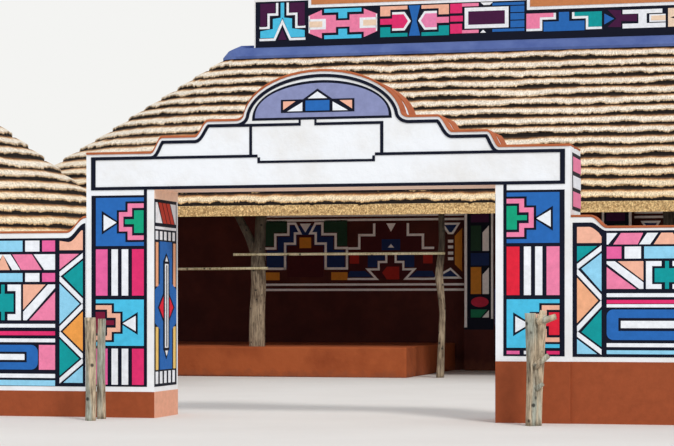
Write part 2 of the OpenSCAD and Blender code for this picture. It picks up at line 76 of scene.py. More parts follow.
def add_node(tree, kind, inputs=None, **settings):
    """Adds one node. inputs maps socket names or numbers to values, to sRGB hex colours, to other
    nodes' sockets or to other nodes, whose first output in use is then meant."""
    made = tree.nodes.new("ShaderNode" + kind)
    for name, value in settings.items():
        setattr(made, name, value)
    for name, value in (inputs or {}).items():
        if isinstance(value, str):
            value = linear(value)
        if isinstance(value, bpy.types.Node):
            value = next(output for output in value.outputs if output.enabled)
        if isinstance(value, bpy.types.NodeSocket):
            tree.links.new(value, made.inputs[name])
        else:
            made.inputs[name].default_value = value
    return made


def new_material(name):
    """A material, the function that adds nodes to it and the socket of the place in metres."""
    made = bpy.data.materials.new(name)
    made.use_nodes = True
    made.node_tree.nodes.clear()
    add = functools.partial(add_node, made.node_tree)
    return made, add, add("TexCoord").outputs["Object"]


def mesh_object(name, points, faces, material, uv=None, smooth=False):
    """A mesh from an array of points and one of faces, at the origin, with its uv map per point."""
    mesh = bpy.data.meshes.new(name)
    mesh.from_pydata(np.asarray(points).tolist(), [], faces)
    if uv is not None:
        corners = np.empty(len(mesh.loops), dtype=np.int64)
        mesh.loops.foreach_get("vertex_index", corners)
        layer = mesh.uv_layers.new(name="lie")
        layer.data.foreach_set("uv", np.asarray(uv, dtype=np.float64)[corners].ravel())
    mesh.materials.append(material)
    mesh.polygons.foreach_set("use_smooth", np.full(len(mesh.polygons), smooth))
    mesh.update()
    made = bpy.data.objects.new(name, mesh)
    scene.collection.objects.link(made)
    return made


def stand(piece, slot, *nodes):
    """The piece rides on the homestead's one body and stands for the CAD nodes named."""
    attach(piece, "root")
    if nodes:
        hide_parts(*nodes)
    return piece


floor_material, add, place = new_material("pale_floor")
grain = add("TexNoise", {"Vector": place, "Scale": 0.6, "Detail": 6.0})
shade = add("Mix", {0: grain, 6: "#D9D2CA", 7: "#E6E1DA"}, data_type="RGBA")
base = add("BsdfPrincipled", {"Base Color": shade, "Roughness": 0.9})
add("OutputMaterial", {0: base})
FLOOR_HALF = 150.0
floor_corners = [(-FLOOR_HALF, -FLOOR_HALF, 0), (FLOOR_HALF, -FLOOR_HALF, 0),
                 (FLOOR_HALF, FLOOR_HALF, 0), (-FLOOR_HALF, FLOOR_HALF, 0)]
floor = mesh_object("floor", floor_corners, [(0, 1, 2, 3)], floor_material)

SKY_LIGHT = 0.86
SUN_LIGHT = 1.58
SUN_FROM = (0.60, -0.72, 0.92)
SUN_SPREAD = math.radians(12)
world = bpy.data.worlds.new("sky")
world.use_nodes = True
scene.world = world
world.node_tree.nodes.clear()
add = functools.partial(add_node, world.node_tree)
rays = add("LightPath").outputs
seen = add("Math", {0: rays["Is Camera Ray"], 1: rays["Is Glossy Ray"]}, operation="MAXIMUM")
sky = add("Background", {"Color": "#E9EEF6", "Strength": SKY_LIGHT})
backdrop = add("Background", {"Color": "#F4F4F2", "Strength": 1.0})
both = add("MixShader", {0: seen, 1: sky, 2: backdrop})
add("OutputWorld", {0: both})
sun = bpy.data.lights.new("sun", "SUN")
sun.energy = SUN_LIGHT
sun.angle = SUN_SPREAD
sun_object = bpy.data.objects.new("sun", sun)
sun_way = np.array(SUN_FROM) / np.linalg.norm(SUN_FROM)
sun_object.rotation_euler = (math.acos(sun_way[2]), 0, math.atan2(sun_way[1], sun_way[0]) + math.pi / 2)
scene.collection.objects.link(sun_object)


# Plastered walls.
# Cement and earth plaster on masonry, floated by hand, so the arrises are rounded and the
# surface waves a little; limewash or paint on it is chalky and stained by splashing rain below.
def plaster(name, colour, worn, splash=None, splash_top=0.5):
    """Hand-floated plaster: slow blotches over a base colour, trowel waves and grit in the bump,
    and, with splash, a band of that colour that fades out at splash_top above the ground."""
    made, add, place = new_material(name)
    blotch = add("TexNoise", {"Vector": place, "Scale": 1.3, "Detail": 8.0, "Roughness": 0.62})
    share = add("MapRange", {0: blotch, 1: 0.42, 2: 0.68})
    tone = add("Mix", {0: share, 6: colour, 7: worn}, data_type="RGBA")
    if splash:
        height = add("SeparateXYZ", {0: place}).outputs["Z"]
        edge = add("TexNoise", {"Vector": place, "Scale": 9.0, "Detail": 5.0})
        rough_top = add("Math", {0: edge, 1: 0.35, 2: height}, operation="MULTIPLY_ADD")
        low = add("MapRange", {0: rough_top, 1: splash_top, 2: splash_top * 0.2})
        tone = add("Mix", {0: low, 6: tone, 7: splash}, data_type="RGBA")
    wave = add("TexNoise", {"Vector": place, "Scale": 7.0, "Detail": 3.0})
    grit = add("TexNoise", {"Vector": place, "Scale": 90.0, "Detail": 4.0})
    relief = add("Bump", {"Height": wave, "Strength": 0.35, "Distance": 0.03})
    relief = add("Bump", {"Height": grit, "Strength": 0.25, "Distance": 0.006, "Normal": relief})
    base = add("BsdfPrincipled", {"Base Color": tone, "Roughness": 0.88, "Normal": relief,
                                        "Specular IOR Level": 0.2})
    add("OutputMaterial", {0: base})
    return made


def finish_node(name, material, round_off=0.0):
    """Gives a CAD node its material; round_off rounds its arrises by that radius."""
    node = cad_nodes[name]
    node.data.materials.clear()
    node.data.materials.append(material)
    if round_off:
        weld = node.modifiers.new("join", "WELD")
        weld.merge_threshold = 0.0005
        bevel = node.modifiers.new("hand_rounded", "BEVEL")
        bevel.width = round_off
        bevel.segments = 3
        bevel.limit_method = "ANGLE"
        bevel.angle_limit = math.radians(40)


WHITE = "#F3F5F7"
NAVY = "#040A20"
limewash = plaster("limewash_on_plaster", WHITE, "#E8E6E2", "#B08064", 0.35)
earth_paint = plaster("terracotta_earth_plaster", "#A8562E", "#8E4322", "#7B4630", 0.3)
maroon_paint = plaster("maroon_wall_paint", "#4A221E", "#5B2C24", "#7A4632", 0.4)
coping_paint = plaster("coping_clay_paint", "#BC6A42", "#A4542F")
for name, material, round_off in (
        ("gate_pillar_%s", limewash, 0.0), ("front_wall_%s", limewash, 0.0),
        ("side_wall_%s", limewash, 0.0), ("wall_coping_%s", coping_paint, 0.012),
        ("platform_%s", earth_paint, 0.03), ("rondavel_floor_%s", earth_paint, 0.0),
        ("rondavel_wall_%s_front", earth_paint, 0.0), ("rondavel_wall_%s_back", earth_paint, 0.0),
        ("rondavel_lintel_%s", earth_paint, 0.0)):
    for side in ("left", "right"):
        finish_node(name % side, material, round_off)
finish_node("ridge_parapet", limewash)
finish_node("gate_head", limewash)
finish_node("gate_coping", coping_paint, 0.012)
finish_node("rondavel_caps", coping_paint, 0.01)
finish_node("spine_wall", maroon_paint)
finish_node("middle_piers", maroon_paint, 0.02)


# Painted fields.
# Wall paint in flat fields with thick navy lines between them, brushed by hand on the plaster.
# Each field is a plate a few millimetres thick on a navy ground, so the lines are the ground.
PALETTE = {
    "white": "#F1F4F8", "navy": NAVY, "pink": "#F284A9", "rose": "#EA64A0", "magenta": "#E5306F",
    "red": "#E3223A", "crimson": "#CC2C48", "teal": "#079A9C", "green": "#0BA279", "blue": "#2668B4",
    "cyan": "#4CC3E8", "sky": "#93D4F0", "peach": "#F5B79C", "orange": "#F2AF85", "amber": "#F2A14C",
    "yellow": "#F3CB74", "lavender": "#8A90B8", "terracotta": "#9C4D2B", "salmon": "#E8A98C",
    "purple": "#43123E", "mauve": "#EE88B4", "wine": "#7A1234", "wine_brown": "#4A1418",
    "ochre": "#DE8E2E", "cream": "#F3D6BA", "board": "#C88050", "moss": "#244430", "dusk": "#1A3064",
    "brick": "#B0281F", "green_dark": "#1B8058", "stone": "#FFFBF7", "soffit": "#FFDCC4",
    "clay_red": "#CC4434",
}
paint, add, place = new_material("brushed_wall_paint")
field_colour = add("Attribute", attribute_name="field")
brush_grain = add("TexNoise", {"Vector": place, "Scale": 14.0, "Detail": 7.0, "Roughness": 0.7})
strength = add("MapRange", {0: brush_grain, 1: 0.3, 2: 0.7, 3: 0.86, 4: 1.08})
toned = add("VectorMath", {0: field_colour, "Scale": strength}, operation="SCALE")
relief = add("Bump", {"Height": brush_grain, "Strength": 0.2, "Distance": 0.01})
base = add("BsdfPrincipled", {"Base Color": toned, "Roughness": 0.6, "Normal": relief,
                                    "Specular IOR Level": 0.15})
add("OutputMaterial", {0: base})

COAT, THIN_COAT = 0.006, 0.003
RIGHT, BOTH = (1,), (1, -1)


class Wall:
    """A painted wall face: fields are kept in the face's own metres, across and up."""

    def __init__(self, origin, across, outward, up=(0, 0, 1)):
        self.origin, self.across, self.outward, self.up = [
            np.array(v, dtype=float) for v in (origin, across, outward, up)]
        self.fields = []
        self.centre(0.0)

    def centre(self, x, z=0.0, tall=1.0, wide=1.0):
        """Measures the fields that follow from the point x, z, in units of wide across and tall up."""
        self.middle, self.scale = np.array((x, z)), np.array((wide, tall))
        return self

    def place(self, points, side=1):
        """Points about the middle as points on the face; side -1 mirrors them."""
        return self.middle + np.array(points, dtype=float) * self.scale * (side, 1)

    def field(self, outline, colour, depth=COAT, sides=RIGHT):
        """A field of paint with its outline as (across, up) points, proud of the face by depth, for
        each of the sides: 1 as it is given and -1 mirrored about the middle."""
        self.fields += [(self.place(outline, side), colour, depth) for side in sides]

    def block(self, x0, x1, z0, z1, colour, depth=COAT, sides=RIGHT):
        """A field with square corners."""
        self.field([(x0, z0), (x1, z0), (x1, z1), (x0, z1)], colour, depth, sides)

    def tip(self, half, z0, z1, colour, depth=COAT):
        """A triangle about the middle from its side at z0, twice half long, to its point at z1."""
        self.field([(-half, z0), (half, z0), (0, z1)], colour, depth)

    def line(self, points, colour, wide=0.045, depth=COAT, sides=RIGHT, aside=0.0):
        """A band of even width along points, whose middle lies aside to the right of their way. Its
        corners lie where the edges of two stretches cross, at 1 / cos(half the turn)."""
        for side in sides:
            line = self.place(points, side)
            way = np.diff(line, axis=0)
            way /= np.linalg.norm(way, axis=1)[:, None]
            out = np.stack([way[:, 1], -way[:, 0]], -1)
            mean = np.concatenate([out[:1], out[:-1] + out[1:], out[-1:]])
            mean /= np.linalg.norm(mean, axis=1)[:, None]
            mean /= np.concatenate([[1.0], np.sum(mean[1:-1] * out[1:], axis=1), [1.0]])[:, None]
            a, b = line + mean * (aside - wide / 2), line + mean * (aside + wide / 2)
            self.fields += [(np.array([a[i], a[i + 1], b[i + 1], b[i]]), colour, depth)
                            for i in range(len(way))]

    def mirrored(self):
        """Adds every field again, mirrored about the face's middle line."""
        self.fields += [(outline * (-1, 1), colour, depth) for outline, colour, depth in self.fields]

    def build(self, name):
        """All fields as one mesh: each outline is swept from the face out to its depth."""
        points, faces, tints = [], [], []
        count = 0
        for outline, colour, depth in self.fields:
            n = len(outline)
            x, z = outline[:, 0], outline[:, 1]
            turn = np.sum(x * np.roll(z, -1) - np.roll(x, -1) * z)
            if np.dot(np.cross(self.across, self.up), self.outward) * turn < 0:
                outline = outline[::-1]
            flat = self.origin + outline[:, :1] * self.across + outline[:, 1:] * self.up
            points += [flat, flat + self.outward * depth]
            ring = np.arange(n)
            after = np.roll(ring, -1)
            faces += [(ring[::-1] + count).tolist(), (ring + n + count).tolist()]
            faces += (np.stack([ring, after, after + n, ring + n], 1) + count).tolist()
            tints += [linear(PALETTE[colour])] * (n + 2)
            count += 2 * n
        made = mesh_object(name, np.concatenate(points), faces, paint)
        layer = made.data.attributes.new("field", "FLOAT_COLOR", "CORNER")
        sizes = np.empty(len(faces), dtype=np.int64)
        made.data.polygons.foreach_get("loop_total", sizes)
        layer.data.foreach_set("color", np.repeat(np.array(tints), sizes, axis=0).ravel())
        return stand(made, "painted_plaster")


def paint_face(name, y, outward, draw):
    """Draws one face that stands across at the depth y and looks to the front, -1, or the rear, 1."""
    face = Wall((0, y, 0), (1, 0, 0), (0, outward, 0))
    draw(face)
    face.build(name)


def both_faces(piece, front_y, rear_y, draw):
    """Paints the front and the rear of a wall alike."""
    paint_face(piece + "_painting_front", front_y, -1, draw)
    paint_face(piece + "_painting_rear", rear_y, 1, draw)


def whole(half):
    """An outline from its half at the right of the middle; points on the middle are kept once."""
    return half + [(-a, b) for a, b in half[::-1] if a]


# The pillars' painted fronts.
# From top to bottom: a stepped arrow panel, upright bars, the arrow panel the other way round,
# and bars again down to a white line over the terracotta base, all inside a white border.
gate_low, gate_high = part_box("gate_head")
pillar_low, pillar_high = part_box("gate_pillar_right")
LINE = 0.035


def arrow_panel(wall, start, end, z0, z1, ground, band, block):
    """A triangle by start that points at a block by end, with a stepped band round the block. Its
    points are shares of the panel, across from start to end and down from z1 to z0."""
    wall.centre(start, z1, z0 - z1, end - start)
    wall.block(0, 1, 0, 1, ground)
    for b, c, d, e, colour, depth in ((.62, .44, .08, .26, "navy", 0.008),
                                      (.667, .486, .123, .30, band, 0.010),
                                      (.762, .581, .217, .393, "navy", 0.012),
                                      (.803, .613, .267, .45, block, 0.014)):
        wall.field([(1, d), (b, d), (b, e), (c, e), (c, 1 - e), (b, 1 - e), (b, 1 - d), (1, 1 - d)],
                   colour, depth)
    wall.field([(.125, .27), (.125, .76), (.49, .515)], "navy", 0.008)
    wall.field([(.165, .35), (.165, .683), (.435, .515)], "white", 0.010)


def bars(wall, x0, x1, z0, z1, *colours):
    """Four upright bars with navy lines between them."""
    wall.centre(x0, z0, z1 - z0, x1 - x0)
    for a, b, colour in zip((0, .327, .54, .756), (.244, .46, .676, 1), colours):
        wall.block(a, b, 0, 1, colour)


# Heights of the white base line at the left and right, and how far below it the terracotta ends.
left_base, right_base = 0.30, 0.655
BASE_EDGE = 0.02


def pillar_fronts(wall):
    """Fields of both pillars; side is -1 or 1 and base is the height of the white base line."""
    inner, outer, rim, line_top = 1.973, 2.520, 2.572, 2.40
    for side, base in ((-1, left_base), (1, right_base)):
        wall.centre(0.0, wide=side)
        wall.block(inner - LINE, rim, base + LINE, line_top, "navy", THIN_COAT)
        wall.block(inner - LINE, inner, line_top, line_top + 0.06, "navy", THIN_COAT)
        wall.block(pillar_low.x, pillar_high.x, 0.0, base - BASE_EDGE, "terracotta", THIN_COAT)
        x0, x1 = sorted((side * inner, side * outer))
        first, last, block = ("rose", "magenta", "wine") if side < 0 else ("red", "pink", "red")
        arrow_panel(wall, side * outer, side * inner, 1.854, 2.375, "blue", "pink", "green")
        bars(wall, x0, x1, 1.318, 1.818, first, "white", "white", last)
        arrow_panel(wall, side * inner, side * outer, 0.776, 1.275, "cyan", "peach", block)
        bars(wall, x0, x1, base + 0.055, 0.745, "rose", "white", "white", "magenta")


both_faces("pillar", gate_front, gate_low.y + gate_high.y - gate_front, pillar_fronts)


# The gateway head's painting.
# A navy line follows the stepped top under a white margin. Below it are the long bare band, the
# bare box over its middle and, under the round top, a lavender panel with small triangles.
def s_curve(x0, z0, x1, z1, n=10):
    """n + 1 points of an S from (x0, z0) to (x1, z1): x even, z = z0 + (z1 - z0)(1 - cos pi t) / 2."""
    t = np.linspace(0, 1, n + 1)
    return np.stack([x0 + (x1 - x0) * t, z0 + (z1 - z0) * (1 - np.cos(np.pi * t)) / 2], -1)


SHOULDER, MIDDLE, ARCH_FOOT, ARCH_HALF, ARCH_RISE = 2.845, 3.010, 3.175, 0.86, 0.505
EDGE = 0.028
half = pillar_high.x
foot_turn = math.radians(7.5)
quarter = np.linspace(foot_turn, math.pi / 2, 23)
hollow = np.radians(np.linspace(90, 10, 9))
right_top = np.concatenate([
    s_curve(0.72 * half, SHOULDER, 0.72 * half - 0.125, MIDDLE),
    s_curve(0.515 * half + 0.045, MIDDLE, 0.515 * half - 0.105, ARCH_FOOT),
    np.stack([ARCH_HALF * math.cos(foot_turn) + 0.09 * (1 - np.cos(hollow)),
              ARCH_FOOT + ARCH_RISE * math.sin(foot_turn) * (1 - np.sin(hollow))], -1),
    np.stack([ARCH_HALF * np.cos(quarter), ARCH_FOOT + ARCH_RISE * np.sin(quarter)], -1)])
head_line = np.concatenate([right_top, right_top[-2::-1] * (-1, 1)])
head_line = np.concatenate([[(half - 0.055, SHOULDER)], head_line, [(0.055 - half, SHOULDER)]])
BAND_LOW, BAND_TOP = 2.458, 2.784
BOX_LOW, BOX_TOP, BOX_X0, BOX_X1 = 2.722, 3.112, -0.79, 0.67


def head_painting(wall):
    """The navy lines, the lavender panel and its triangles on one face of the head."""
    wall.line(head_line[::-1], "navy", 0.034, 0.008, aside=EDGE + 0.017)
    wall.block(2.525, half - 0.055, BAND_LOW, SHOULDER - EDGE, "navy", sides=BOTH)
    wall.block(-2.525, 2.525, BAND_LOW, BAND_LOW + 0.034, "navy", 0.007)
    low_x0, low_x1 = BOX_X0 + 0.09, BOX_X1 - 0.09
    for x0, x1 in ((-1.96, low_x0), (low_x1, 1.96)):
        wall.block(x0, x1, BAND_TOP, BAND_TOP + 0.03, "navy", 0.007)
    for x0, x1 in ((BOX_X0, BOX_X0 + 0.03), (BOX_X1 - 0.034, BOX_X1)):
        wall.block(x0, x1, BAND_TOP + 0.026, BOX_TOP, "navy")
    for x0, x1 in ((low_x0, low_x0 + 0.028), (low_x1 - 0.028, low_x1)):
        wall.block(x0, x1, BOX_LOW + 0.026, BAND_TOP, "navy")
    wall.block(low_x0, low_x1, BOX_LOW, BOX_LOW + 0.026, "navy")
    notch_x0, notch_x1 = -0.225, -0.075
    for x0, x1 in ((BOX_X0 - 0.13, notch_x0), (notch_x1, BOX_X1)):
        wall.block(x0, x1, BOX_TOP, BOX_TOP + 0.03, "navy")
    for x in (notch_x0, notch_x1 + 0.022):
        wall.block(x - 0.022, x, BOX_TOP + 0.03, BOX_TOP + 0.062, "navy")
    arch = np.radians(np.linspace(0, 180, 41))
    panel_low, panel_tall = BOX_TOP + 0.062, ARCH_FOOT + ARCH_RISE - BOX_TOP - 0.155
    panel = np.stack([(ARCH_HALF - 0.10) * np.cos(arch), panel_tall * np.sin(arch) ** 0.9], -1)
    wall.centre(0.0, panel_low)
    wall.field(panel, "navy", 0.004)
    wall.field(panel * (0.957, 0.867) + (0, 0.026), "lavender", 0.007)
    wall.centre(-0.04)
    z0, z1 = 3.25, 3.388
    wall.field(whole([(0.40, z0), (0.40, z1), (0.16, z1), (0, z1 + 0.11)]), "navy", 0.010)
    wall.tip(0.105, z1 + 0.008, z1 + 0.08, "white", 0.012)
    wall.block(-0.13, 0.13, z0 + 0.016, z1 - 0.014, "blue", 0.012)
    wall.field([(0.375, z1 - 0.018), (0.24, z1 - 0.018), (0.375, z0 + 0.03)], "peach", 0.012, BOTH)
    wall.field([(0.33, z0 + 0.014), (0.165, z0 + 0.014), (0.165, z1 - 0.03)], "white", 0.012, BOTH)


both_faces("head", gate_low.y, gate_high.y, head_painting)
soffit = Wall((0, pillar_low.y, gate_low.z), (1, 0, 0), (0, 0, -1), (0, 1, 0))
soffit.block(-pillar_low.x, pillar_low.x, 0.02, 0.78, "soffit", 0.004)
soffit.build("head_soffit_painting")


# The pillars' painted inner and outer sides.
# Inside the opening a column of stripes, combs, a spear and a diamond; on the outer sides blocks of
# pink and white above the forecourt wall.
def comb(wall, z0, z1):
    """Five short white bars side by side, the third just in front of the middle."""
    wide, pitch, third = .08, .142, -.056
    for k in range(-2, 3):
        wall.block(third + pitch * k, third + pitch * k + wide, z0, z1, "white")


def inner_side(wall, base):
    """Fields of the side of a pillar that faces the opening; across is the way in, from 3 cm in
    front of the pillar's face."""
    wall.block(0.03, 0.83, 2.36, 2.468, "soffit", THIN_COAT)
    wall.block(0.03, 0.78, base + LINE, 2.36, "navy", THIN_COAT)
    wall.block(0.03, 0.83, 0.0, base - BASE_EDGE, "salmon" if base < 0.5 else "terracotta", THIN_COAT)
    wall.centre(0.405)
    wall.block(-.34, .34, 2.105, 2.325, "white")
    slant = .165
    for x, wide, colour, depth in ((-.285, .425, "navy", 0.008), (-.26, .108, "clay_red", 0.010),
                                   (-.128, .108, "clay_red", 0.010), (.004, .108, "clay_red", 0.010)):
        wall.field([(x, 2.325), (x + wide, 2.325), (x + wide + slant, 2.105), (x + slant, 2.105)],
                   colour, depth)
    wall.block(-.35, .35, 2.036, 2.066, "white")
    comb(wall, 1.923, 2.016)
    if base < 0.5:
        comb(wall, 0.365, 0.497)
    wall.block(.255, .335, 1.417, 1.895, "orange", sides=BOTH)
    wall.block(.255, .335, 0.515, 0.979, "yellow", sides=BOTH)
    wall.field(whole([(.205, 0.515), (.205, 0.95), (.36, 1.02), (.36, 1.38), (.205, 1.45),
                      (.205, 1.906)]), "blue", 0.008)
    wall.field(whole([(0, 0.95), (.28, 1.19), (0, 1.43)]), "navy", 0.010)
    wall.field(whole([(0, 0.985), (.235, 1.19), (0, 1.395)]), "red", 0.012)
    wall.field(whole([(.10, 0.725), (.10, 1.69), (0, 1.78)]), "navy", 0.013)
    wall.block(-.055, .055, 0.75, 1.665, "white", 0.015)
    wall.tip(.045, 1.692, 1.745, "white", 0.015)
    wall.block(-.015, .015, 0.76, 1.65, "navy", 0.017)
    wall.tip(.085, 0.73, 0.625, "navy", 0.012)
    wall.tip(.045, 0.718, 0.66, "white", 0.015)


def outer_side(wall, base):
    """Fields of the outer side of a pillar, in front of the forecourt wall and above it."""
    wall.block(0.14, 0.80, 2.20, 2.79, "navy", THIN_COAT)
    for z0, z1, colour in ((2.60, 2.75, "pink"), (2.43, 2.555, "white"), (2.235, 2.39, "pink")):
        wall.block(0.19, 0.80, z0, z1, colour)
    wall.block(0.0, 0.14, 0.0, base - BASE_EDGE, "terracotta", THIN_COAT)
    wall.block(0.33, 0.80, 0.0, base - BASE_EDGE, "terracotta", THIN_COAT)


for side, name, base in ((-1, "left", left_base), (1, "right", right_base)):
    for x, y, outward, draw, piece in ((pillar_low.x, gate_front - 0.03, -side, inner_side, "inner"),
                                       (pillar_high.x, gate_front, side, outer_side, "outer")):
        pillar_wall = Wall((side * x, y, 0), (0, 1, 0), (outward, 0, 0))
        draw(pillar_wall, base)
        pillar_wall.build("%s_side_painting_%s" % (piece, name))


# The forecourt walls' painting.
# Columns of triangles with a white zigzag stand between blocks of rows that mirror about their
# middle; a white line runs over the terracotta base and a navy line under the coping.
def zigzag(wall, near, far, heights, colours):
    """A white zigzag from near at heights[0] to far and back, with a triangle of colour per bay.
    It turns a little outside the column, so the column's edges cut it off."""
    over = math.copysign(0.026, far - near)
    way = far - near + 2 * over
    cut = over / way
    half_wide, gap = 0.023, 0.043
    xs = [near - over if i % 2 == 0 else far + over for i in range(len(heights))]
    for x0, x1, z0, z1 in zip(xs, xs[1:], heights, heights[1:]):
        h = half_wide * math.hypot(way, z1 - z0) / abs(way)
        a, b = x0 + (x1 - x0) * cut, x1 - (x1 - x0) * cut
        c, d = z0 + (z1 - z0) * cut, z1 - (z1 - z0) * cut
        wall.field([(a, c - h), (b, d - h), (b, d + h), (a, c + h)], "white", 0.008)
    zs = [heights[0], *heights, heights[-1]]
    xs = [xs[1], *xs, xs[-2]]
    for i, colour in enumerate(colours):
        above, tip, below = zs[i:i + 3]
        side, top_x = xs[i:i + 2]
        drops = (above - tip, tip - below)
        rises = [gap * math.hypot(way, d) / abs(way) if d else 0.0 for d in drops]
        pull = max(gap * math.hypot(way, d) / d for d in drops if d)
        tip_x = top_x + math.copysign(pull, side - top_x)
        share = abs(over / (tip_x - side))
        high, low = above - rises[0], below + rises[1]
        edge = side + (tip_x - side) * share
        wall.field([(edge, high + (tip - high) * share), (tip_x, tip),
                    (edge, low + (tip - low) * share)], colour)


# Width of half a block, and the slanting fields of the left and right walls: where each starts and
# ends at the foot of its row, and where it ends and starts at the top.
HALF_BLOCK = 0.61
SLANTS = {True: (((0, .125, .25, 0), "white"), ((.156, .394, .50, .27), "pink"),
                 ((.405, .50, .61, .52), "white"), ((.53, .61, .61, .61), "peach")),
          False: (((0, .015, .11, 0), "white"), ((.066, .315, .37, .144), "pink"),
                  ((.33, .44, .52, .41), "white"), ((.476, .61, .61, .553), "peach"))}


def row(wall, kind, x, way, z0, z1, left):
    """One row of half a block from x on; kind names its pattern or its one colour. Its points are
    metres from x along the way, 1 or -1, and shares of the height down from z1 to z0."""
    h = z1 - z0
    wall.centre(x, z1, -h, way)
    if kind == "plain":
        for a, b, colour in ((0, .15, "rose"), (.182, .348, "white"), (.38, HALF_BLOCK, "sky")):
            wall.block(a, b, 0, 1, colour)
    elif kind == "slant":
        for (a, b, c, d), colour in SLANTS[left]:
            wall.field([(a, 1), (b, 1), (c, 0), (d, 0)] if c > d else [(a, 1), (b, 1), (c, 0)], colour)
    elif kind == "motif":
        wall.field([(0, 0), (.083, 0), (.372, .763), (.372, 1), (.33, 1), (0, .095)], "white")
        wall.field([(0, .21), (.30, 1), (0, 1)], "pink")
        wall.field([(.372, 0), (.372, .70), (.112, 0)], "peach")
        wall.field([(.398, 0), (.555, 0), (.555, .18), (.46, .18), (.46, .83), (.555, .83), (.555, 1),
                    (.398, 1)], "white")
        wall.field([(.59, 0), (HALF_BLOCK, 0), (HALF_BLOCK, 1), (.59, 1), (.59, .76), (.485, .76),
                    (.485, .26), (.59, .26)], "teal")
    elif kind in ("capsule", "blob"):
        start, bar, r = (.20, .355, .08) if kind == "capsule" else (.0, .144, .066)
        if kind == "capsule":
            wall.block(0, .188, 0, 1, "pink")
        turn = np.radians(np.linspace(0, 90, 6))
        rounded = [(start + r - r * math.sin(t), (r - r * math.cos(t)) / h) for t in turn]
        outline = [(HALF_BLOCK, 0)] + rounded + [(a, 1 - b) for a, b in rounded[::-1]]
        wall.field(outline + [(HALF_BLOCK, 1)], "blue")
        wall.block(bar - .024, HALF_BLOCK, .28, .70, "navy", 0.008)
        wall.block(bar, HALF_BLOCK, .37, .61, "white", 0.010)
    else:
        wall.block(0, HALF_BLOCK, 0, 1, kind)


# Patterns or colours of the rows with their lower and upper edges, and the columns between blocks.
LEFT_ROWS = (("plain", 1.80, 1.92), ("slant", 1.60, 1.77), ("plain", 1.47, 1.565),
             ("motif", 1.05, 1.44), ("white", 0.97, 1.01), ("magenta", 0.885, 0.93),
             ("white", 0.81, 0.85), ("capsule", 0.51, 0.78), ("white", 0.42, 0.465),
             ("sky", 0.335, 0.395))
RIGHT_ROWS = (("slant", 1.833, 1.949), ("plain", 1.689, 1.811), ("motif", 1.38, 1.662),
              ("white", 1.297, 1.336), ("magenta", 1.231, 1.268), ("white", 1.192, 1.224),
              ("blob", 0.86, 1.17), ("white", 0.788, 0.827), ("sky", 0.716, 0.755))
COLUMNS = {True: ((1.772, 1.530, 1.23, .928, .632, .37), ("pink", "teal", "sky", "amber", "teal", "sky")),
           False: ((1.818, 1.587, 1.262, .940, .716), ("teal", "sky", "orange", "teal", "sky"))}
COLUMN, LEAD = 0.28, 0.053
PITCH = COLUMN + 2 * LEAD + 2 * HALF_BLOCK


def forecourt_painting(wall, start, end, left, base, sweep):
    """A run of wall from start to end; sweep says how it falls, or is None where it is level."""
    low, top = base + 0.03, 1.945 if left else 1.974
    rim = [(start, top), (start, low), (end, low), (end, top)]
    if sweep:
        fall, run, high = sweep
        curve = s_curve(start + fall + run, top, start + fall, high).tolist()
        rim = [(start, high), (start, low), (end, low), (end, top)] + curve
    wall.field(rim, "navy", THIN_COAT)
    wall.block(start - 0.04, end, 0.0, base - BASE_EDGE, "terracotta", THIN_COAT)
    lid_low, lid_top = 1.813 if left else 1.85, 1.915
    heights, colours = COLUMNS[left]
    x = start + 0.016
    while x + COLUMN < end:
        wall.centre(0.0)
        first = x + (0.0 if x > start + 0.1 else 0.012 if left else 0.030)
        lid = [(first, lid_low), (x + COLUMN, lid_low), (x + COLUMN, lid_top)]
        if sweep and x < start + 0.1:
            bend = [(a - 0.02, z - 0.045) for a, z in curve if first + 0.02 < a < x + COLUMN]
            lid += bend + [(first, bend[-1][1])]
        else:
            lid += [(x, lid_top)]
        wall.field(lid, "peach")
        near, far = (first, x + COLUMN) if left else (x + COLUMN, first)
        zigzag(wall, near, far, heights, colours)
        for kind, z0, z1 in LEFT_ROWS if left else RIGHT_ROWS:
            if x + COLUMN + LEAD + HALF_BLOCK < end:
                row(wall, kind, x + COLUMN + LEAD, 1, z0, z1, left)
            if x + PITCH - LEAD < end:
                row(wall, kind, x + PITCH - LEAD, -1, z0, z1, left)
        x += PITCH


# How far from its start each front wall falls, over what length and from what height.
SWEEPS = {"left": (0.0, 0.215, 2.105), "right": (0.185, 0.165, 2.060)}
SIDE_PAINTED = 6.2
wall_front_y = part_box("front_wall_left")[0].y
for side, name, base in ((-1, "left", left_base), (1, "right", right_base)):
    low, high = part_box("front_wall_" + name)
    corner = max(abs(low.x), abs(high.x))
    front = Wall((0, wall_front_y, 0), (side, 0, 0), (0, -1, 0))
    forecourt_painting(front, pillar_high.x + 0.02, corner - 0.03, side < 0, base, SWEEPS[name])
    front.build("front_wall_painting_" + name)
    flank = Wall((side * corner, wall_front_y, 0), (0, 1, 0), (side, 0, 0))
    forecourt_painting(flank, 0.03, SIDE_PAINTED, side < 0, base, None)
    flank.build("side_wall_painting_" + name)


# The parapet's painted band and its bare boards.
# Arrows, stepped bars and bordered blocks on a navy ground, front and rear, under two bare
# orange-brown boards with white borders. Each panel is drawn about its own middle and, where its
# halves match, mirrored.
def stepped_gable(wall):
    """White stairs with purple corners over a cyan gable, which a white line cuts open below."""
    wall.field([(.44, .35), (.15, .35), (.15, .16), (.315, .16), (.315, -.10), (.44, -.10)], "purple",
               sides=BOTH)
    wall.line([(.455, -.115), (.275, -.115), (.275, .135), (.105, .135), (.105, .355)], "white",
              sides=BOTH)
    wall.field(whole([(.035, .355), (.035, .07), (.19, .05), (.19, -.14), (.44, -.18), (.44, -.31)]),
               "cyan")
    wall.tip(.18, -.36, .07, "navy", 0.008)
    wall.line(whole([(.455, -.345), (.155, -.345), (0, -.01)]), "white", depth=0.010)
    wall.tip(.085, -.355, -.15, "purple", 0.010)


